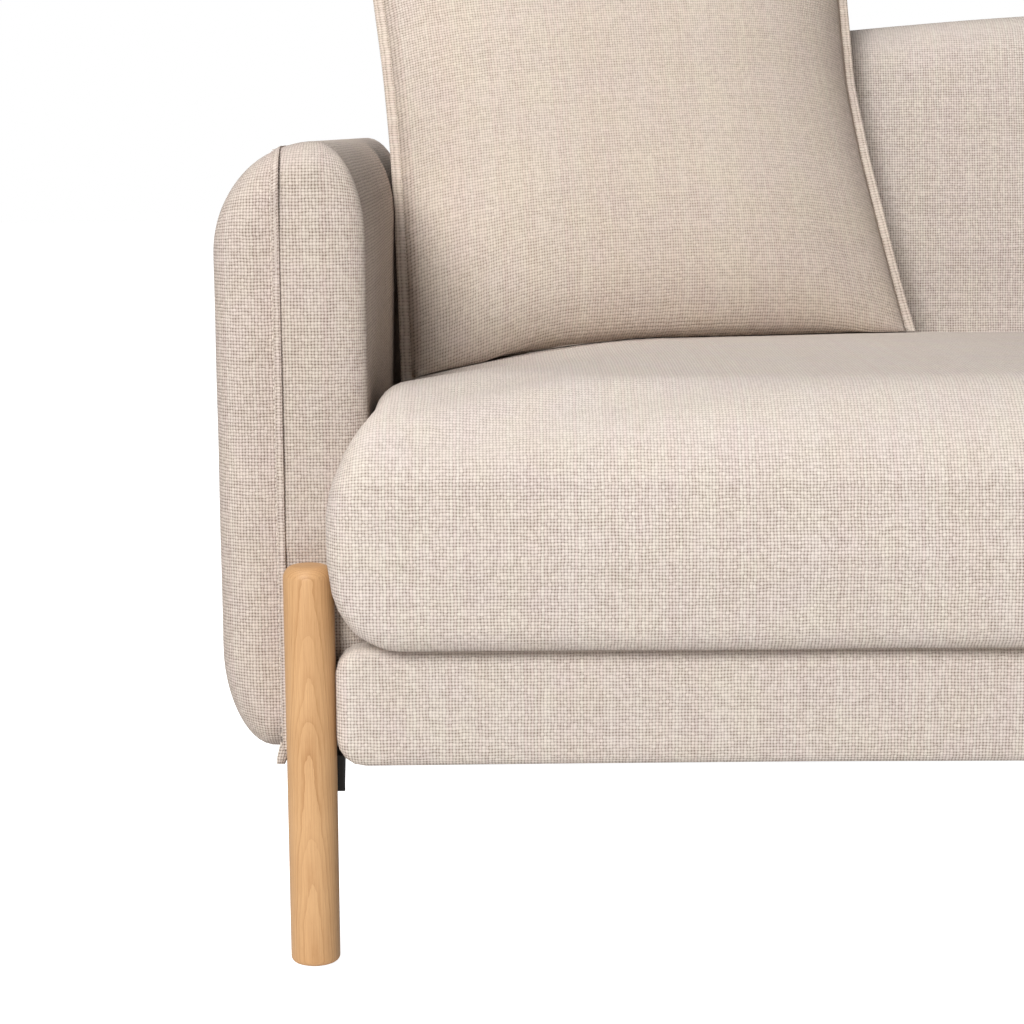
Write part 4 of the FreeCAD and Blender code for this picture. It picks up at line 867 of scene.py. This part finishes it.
def seat_section():
    """Side view of the bench cushion: a full round nose, a crowned top and a leaning rear face."""
    nose, low_round, rear_round = 0.088, 0.040, 0.042
    top_front, top_rear = 0.4185, 0.4060
    lean = math.tan(TILT)
    rear_top = SEAT_REAR + (top_rear - SEAT_BOTTOM) * lean
    slope = (top_rear - top_front) / (rear_top - SEAT_FRONT)
    top = []
    for k in range(30):
        y = SEAT_FRONT + nose + (rear_top - rear_round - SEAT_FRONT - nose) * k / 29
        top.append((y, top_front + slope * (y - SEAT_FRONT) + 0.005 * math.sin(math.pi * k / 29)))
    return np.vstack([
        quarter(SEAT_FRONT + nose, top[0][1] - nose * 0.93, nose, nose * 0.93, 180, 90, 22),
        np.array(top[1:-1]),
        quarter(rear_top - rear_round - 0.004, top[-1][1] - rear_round, rear_round, rear_round, 90, -11, 14),
        quarter(SEAT_REAR - low_round * (1 - lean), SEAT_BOTTOM + low_round,
                low_round, low_round, -11, -90, 12),
        quarter(SEAT_FRONT + 0.014, SEAT_BOTTOM + 0.018, 0.014, 0.018, 270, 180, 10),
    ])[::-1]


def dress_seat(points, lobe):
    """Swells the front corners past the arms by lobe and lets the top fall towards the ends."""
    x, y, z = points[:, 0].copy(), points[:, 1].copy(), points[:, 2].copy()
    ends = smoothstep(abs(x), SEAT_HALF - 0.10, SEAT_HALF - 0.012)
    forward = smoothstep(-y, 0.343, 0.383)
    # share of the lobe at each height
    level = np.interp(z, [0.236, 0.249, 0.270, 0.300, 0.330, 0.350, 0.369, 0.390, 0.407],
                      [0.10, 0.45, 0.86, 1.0, 1.0, 0.90, 0.68, 0.46, 0.30])
    x += np.sign(x) * lobe * ends * forward * level
    fall = np.interp(abs(x), [0.60, 0.66, 0.72, 0.79, 0.84, 0.89], [0.0, 0.001, 0.005, 0.014, 0.022, 0.028])
    z -= fall * smoothstep(y, -0.33, -0.06) * smoothstep(z, 0.30, 0.40)
    # the seat gives a little under each pillow
    under = np.exp(-((abs(x) - 0.66) / 0.16) ** 2) * smoothstep(y, 0.06, 0.13)
    z -= 0.003 * under * smoothstep(z, 0.36, 0.40)
    z += ripple(np.column_stack([x, y, y * 0]), 1.3 * MM, 0.24, 41) * smoothstep(z, 0.36, 0.39)
    y -= ripple(np.column_stack([x, z * 1.5, z * 0]), 1.2 * MM, 0.20, 43) * smoothstep(-y, 0.30, 0.40)
    return np.column_stack([x, y, z])


def grown(verts, faces, amount):
    """The same mesh moved out along its normals, or in where amount is negative."""
    mesh = bpy.data.meshes.new("grown")
    mesh.from_pydata([tuple(v) for v in verts], [], faces)
    mesh.update()
    normals = np.array([tuple(v.normal) for v in mesh.vertices])
    bpy.data.meshes.remove(mesh)
    return np.asarray(verts) + normals * amount


verts, seat_faces, uvs, layout = bolster(seat_section(), SEAT_HALF, 0.022, 13 * MM, 11 * MM)
seat_verts = dress_seat(verts, SEAT_LOBE)
core_verts = grown(dress_seat(verts, 0.0), seat_faces, -9 * MM)
x, y, z = seat_verts.T
free_top = smoothstep(z, 0.30, 0.37) * (1 - smoothstep(y, 0.10, 0.16))
free_front = smoothstep(-y, 0.33, 0.39) * smoothstep(z, 0.25, 0.29)
away_from_ends = 1 - smoothstep(abs(x), SEAT_HALF - 0.05, SEAT_HALF - 0.005)
free = np.maximum(free_top, free_front) * away_from_ends
held = [(i, 1 - f) for i, f in enumerate(free) if f < 0.999]
seat_verts = relax(seat_verts, seat_faces, 4.0, 6 * MM, 30.0, 0.5, held)
uvs = measured_uvs(seat_verts, uvs, layout)
seat = build("seat_cushion_visual", seat_verts, seat_faces, uvs, FABRIC,
             ["seat_cushion_cover"], "seat_cushion")
core = build("seat_cushion_foam", core_verts, seat_faces, uvs, FOAM,
             ["seat_cushion_core"], "seat_cushion", "foam")

# ---------------------------------------------------------------- scatter pillows

PILLOW_SIZE = 0.237
PILLOW_FULL = 0.066


def pillow_sheet(n, size):
    """Two square layers joined round their edge, with their weave coordinates."""
    verts, index, faces, uvs = [], {}, [], []

    def key(i, j, layer):
        return i, j, 0 if i in (0, n) or j in (0, n) else layer

    for layer in (0, 1):
        for i in range(n + 1):
            for j in range(n + 1):
                if key(i, j, layer) in index:
                    continue
                x, z = (i / n * 2 - 1), (j / n * 2 - 1)
                low = 5.5 if z < 0 else 2.4
                full = PILLOW_FULL * ((1 - abs(x) ** 2.8) * (1 - abs(z) ** low)) ** 0.6
                index[key(i, j, layer)] = len(verts)
                pull_x, pull_z = 1 - 0.040 * (1 - z ** 2), 1 - 0.040 * (1 - x ** 2)
                verts.append((x * size * pull_x, (full if layer else -full), z * size * pull_z))
    for layer, turn in ((0, 1), (1, -1)):
        for i in range(n):
            for j in range(n):
                quad = [(i, j), (i + 1, j), (i + 1, j + 1), (i, j + 1)][::turn]
                faces.append(tuple(index[key(p, q, layer)] for p, q in quad))
                uvs += [(p / n * size * 2, q / n * size * 2) for p, q in quad]
    rim = [index[(i, 0, 0)] for i in range(n)] + [index[(n, j, 0)] for j in range(n)]
    rim += [index[(i, n, 0)] for i in range(n, 0, -1)] + [index[(0, j, 0)] for j in range(n, 0, -1)]
    return np.array(verts), faces, uvs, rim


turn = Matrix.Rotation(math.radians(10), 4, "Z") @ Matrix.Rotation(math.radians(-18), 4, "X")
turn = turn @ Matrix.Rotation(math.radians(-1.5), 4, "Y")
POSE = np.array(Matrix.Translation((-0.6605, 0.1505, 0.6325)) @ turn)


def posed(local):
    return np.asarray(local) @ POSE[:3, :3].T + POSE[:3, 3]


def unit(vectors):
    return vectors / np.linalg.norm(vectors, axis=1)[:, None]


def flange(settled, rim):
    """The flat sewn edge that stands out round the pillow."""
    loop = settled[rim]
    count = len(loop)
    out = np.cross(unit_tangents(loop), np.array([0, 1.0, 0]))
    if np.mean(np.sum(out * (loop - loop.mean(axis=0)), axis=1)) < 0:
        out = -out
    out[:, 1] = 0
    out = unit(out)
    for _ in range(2):
        out = unit(out + np.roll(out, 1, axis=0) + np.roll(out, -1, axis=0))
    # millimetres out from the rim, and to either side of it
    section = [(-3.0, -2.6), (0.0, -1.3), (3.5, -1.2), (6.0, -1.3), (7.2, -0.9), (7.6, 0.0),
               (7.2, 0.9), (6.0, 1.3), (3.5, 1.2), (0.0, 1.3), (-3.0, 2.6)]
    verts = []
    for k in range(count):
        wave = 0.8 * math.sin(k * 0.21) + 0.5 * math.sin(k * 0.53 + 1)
        for dx, dy in section:
            verts.append(loop[k] + out[k] * dx * MM + np.array([0, (dy + wave * max(dx, 0) / 8) * MM, 0]))
    corners, faces = cells(count, len(section), round_rows=True)
    return np.array(verts), faces, [(k * 7.6 * MM, s * 1.7 * MM) for cell in corners for k, s in cell]


def settle_pillow(points):
    """Lets the pillow hang as it stands: slack sides, ears at the low corners, a lean over the arm."""
    x, z = points[:, 0] / PILLOW_SIZE, points[:, 2] / PILLOW_SIZE
    moved = points.copy()
    low_left = smoothstep(-x, 0.35, 1.0) * smoothstep(-z, 0.35, 1.0)
    low_right = smoothstep(x, 0.55, 1.0) * smoothstep(-z, 0.55, 1.0)
    moved[:, 2] -= 0.016 * smoothstep(-z, 0.2, 1.0) + 0.034 * low_left + 0.008 * low_right
    moved[:, 0] += -0.012 - 0.003 * low_left - 0.006 * smoothstep(z, -0.2, 1.0) * smoothstep(-x, 0.0, 1.0)
    moved[:, 1] -= 0.016 * low_left + 0.014 * smoothstep(-z, 0.0, 1.0)
    slack = np.interp(z, [-1.0, -0.8, -0.6, -0.3, 0.0, 0.4, 0.8, 1.0],
                      [-0.004, -0.010, -0.015, -0.021, -0.025, -0.025, -0.016, -0.006])
    moved[:, 0] += slack * smoothstep(x, 0.0, 1.0)
    return moved


SEAT_TREE = BVHTree.FromPolygons([tuple(v) for v in seat_verts], seat_faces)


def fitted(local, seat_gap, arm_gap):
    """Pillow points in the world, lifted off the seat and kept on the open side of the arm."""
    world = posed(local)
    for n, (x, y, z) in enumerate(world):
        hit = SEAT_TREE.ray_cast(Vector((x, y, 0.6)), Vector((0, 0, -1)))[0] if z <= 0.46 else None
        if hit is not None and z < hit.z + seat_gap:
            world[n, 2] = hit.z + seat_gap
    rise = np.clip((world[:, 2] - (ARM_Z1 - SHOULDER_IN)) / SHOULDER_IN, 0, 0.999)
    face = ARM_X1 - 0.036 * (1 - np.sqrt(1 - rise ** 2)) + arm_gap
    low = world[:, 2] < ARM_Z1
    world[low, 0] = np.maximum(world[low, 0], face[low])
    return world


settled, faces, uvs, rim = pillow_sheet(64, PILLOW_SIZE - 0.007)
settled = relax(settled, faces, 3.0, 14 * MM, 20.0, 0.4, [(i, 0.75) for i in rim], mass=0.35)
settled = settle_pillow(settled)
covers = both_sides("pillow", fitted(settled, 1.0 * MM, 3.0 * MM), faces, uvs, PILLOW_FABRIC,
                    ["pillow_cover"], "SIDE_pillow")
fillings = both_sides("pillow_fill", fitted(grown(settled, faces, -3 * MM), 4.0 * MM, 6.0 * MM), faces, uvs,
                      FIBRE, ["pillow_filling"], "SIDE_pillow", "pillow_fill")
edge_verts, faces, uvs = flange(settled, rim)
both_sides("pillow_flange", fitted(edge_verts, 1.0 * MM, 2.0 * MM), faces, uvs, PILLOW_FABRIC,
           body="SIDE_pillow")

# ---------------------------------------------------------------- finishes of the CAD pieces that stay

FINISH = {
    "leg_glides": FELT, "leg_brackets": BLACK_STEEL, "leg_bolts": ZINC, "leg_inserts": ZINC,
    "bracket_screws": ZINC, "frame_bolts": ZINC, "spring_clips": ZINC, "seat_springs": ZINC,
    "dust_cover": DUST, "back_webbing": WEBBING, "seat_deck": DECK, "seat_cushion_core": FOAM,
    "left_pillow_filling": FIBRE, "right_pillow_filling": FIBRE, "seat_cushion_zip": ZIP_TAPE,
    "seat_cushion_zip_slider": ZIP_METAL, "seat_corner_blocks": TIMBER_Z,
}


def finish_of(name):
    """The material of a CAD node, from its name; None where the visual model covers it."""
    if name in FINISH:
        return FINISH[name]
    if "board" in name:
        return HARDBOARD
    if name.endswith("post"):
        return TIMBER_Z
    if name.endswith("rail"):
        return TIMBER_Y if "side_rail" in name or "arm_" in name else TIMBER_X
    return None


for name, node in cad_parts.items():
    finish = finish_of(name)
    if finish is None:
        continue
    if not node.material_slots:
        node.data.materials.append(finish)
    for slot in node.material_slots:
        slot.material = finish

# ---------------------------------------------------------------- floor, light and camera

studio = Shading("pale_floor")
seen = Value(studio, studio.node("LightPath").outputs["Is Camera Ray"])
studio.set(Base_Color=(0.80, 0.80, 0.80), Roughness=0.9, Specular_IOR_Level=0.0,
           Emission_Color=(1.0, 1.0, 1.0), Emission_Strength=studio.remap(seen, 0.0, 1.0, 0.10, 1.0))
floor = plain_object("floor", [(-14, -14, 0), (14, -14, 0), (14, 14, 0), (-14, 14, 0)], [(0, 1, 2, 3)])
floor.data.materials.append(studio.material)

FILL_LIGHT = 0.125
world = bpy.data.worlds.new("studio")
world.use_nodes = True
nodes, links = world.node_tree.nodes, world.node_tree.links
sky = nodes["Background"]
sky.inputs[0].default_value = (1.0, 1.0, 1.0, 1)
level = nodes.new("ShaderNodeMapRange")
level.inputs[3].default_value = FILL_LIGHT
level.inputs[4].default_value = 1.0
links.new(nodes.new("ShaderNodeLightPath").outputs["Is Camera Ray"], level.inputs[0])
links.new(level.outputs[0], sky.inputs[1])
bpy.context.scene.world = world


def softbox(name, location, target, size, energy):
    light = bpy.data.lights.new(name, "AREA")
    light.shape = "RECTANGLE"
    light.size, light.size_y = size
    light.energy = energy
    item = bpy.data.objects.new(name, light)
    item.location = location
    item.rotation_euler = (Vector(target) - Vector(location)).to_track_quat("-Z", "Y").to_euler()
    bpy.context.scene.collection.objects.link(item)


softbox("key", (-2.7, -6.5, 3.5), (-0.6, 0, 0.4), (2.3, 2.3), 500)
softbox("top", (-2.0, -1.2, 4.6), (-0.9, 0.2, 0.4), (2.0, 2.2), 78)

camera_data = bpy.data.cameras.new("camera")
camera_data.lens = 85
camera_data.sensor_width = 36
camera_data.clip_end = 60
camera = bpy.data.objects.new("camera", camera_data)
leg_x, leg_y = (leg_low[0] + leg_high[0]) / 2, (leg_low[1] + leg_high[1]) / 2
pitch = Matrix.Rotation(math.radians(90 - 9.0), 4, "X")
roll = Matrix.Rotation(math.radians(-0.37), 4, "Z")
camera.matrix_world = Matrix.Translation((leg_x + 0.1448, leg_y - 1.6885, 0.5974)) @ pitch @ roll
bpy.context.scene.collection.objects.link(camera)
bpy.context.scene.camera = camera
bpy.context.scene.view_settings.view_transform = "Standard"
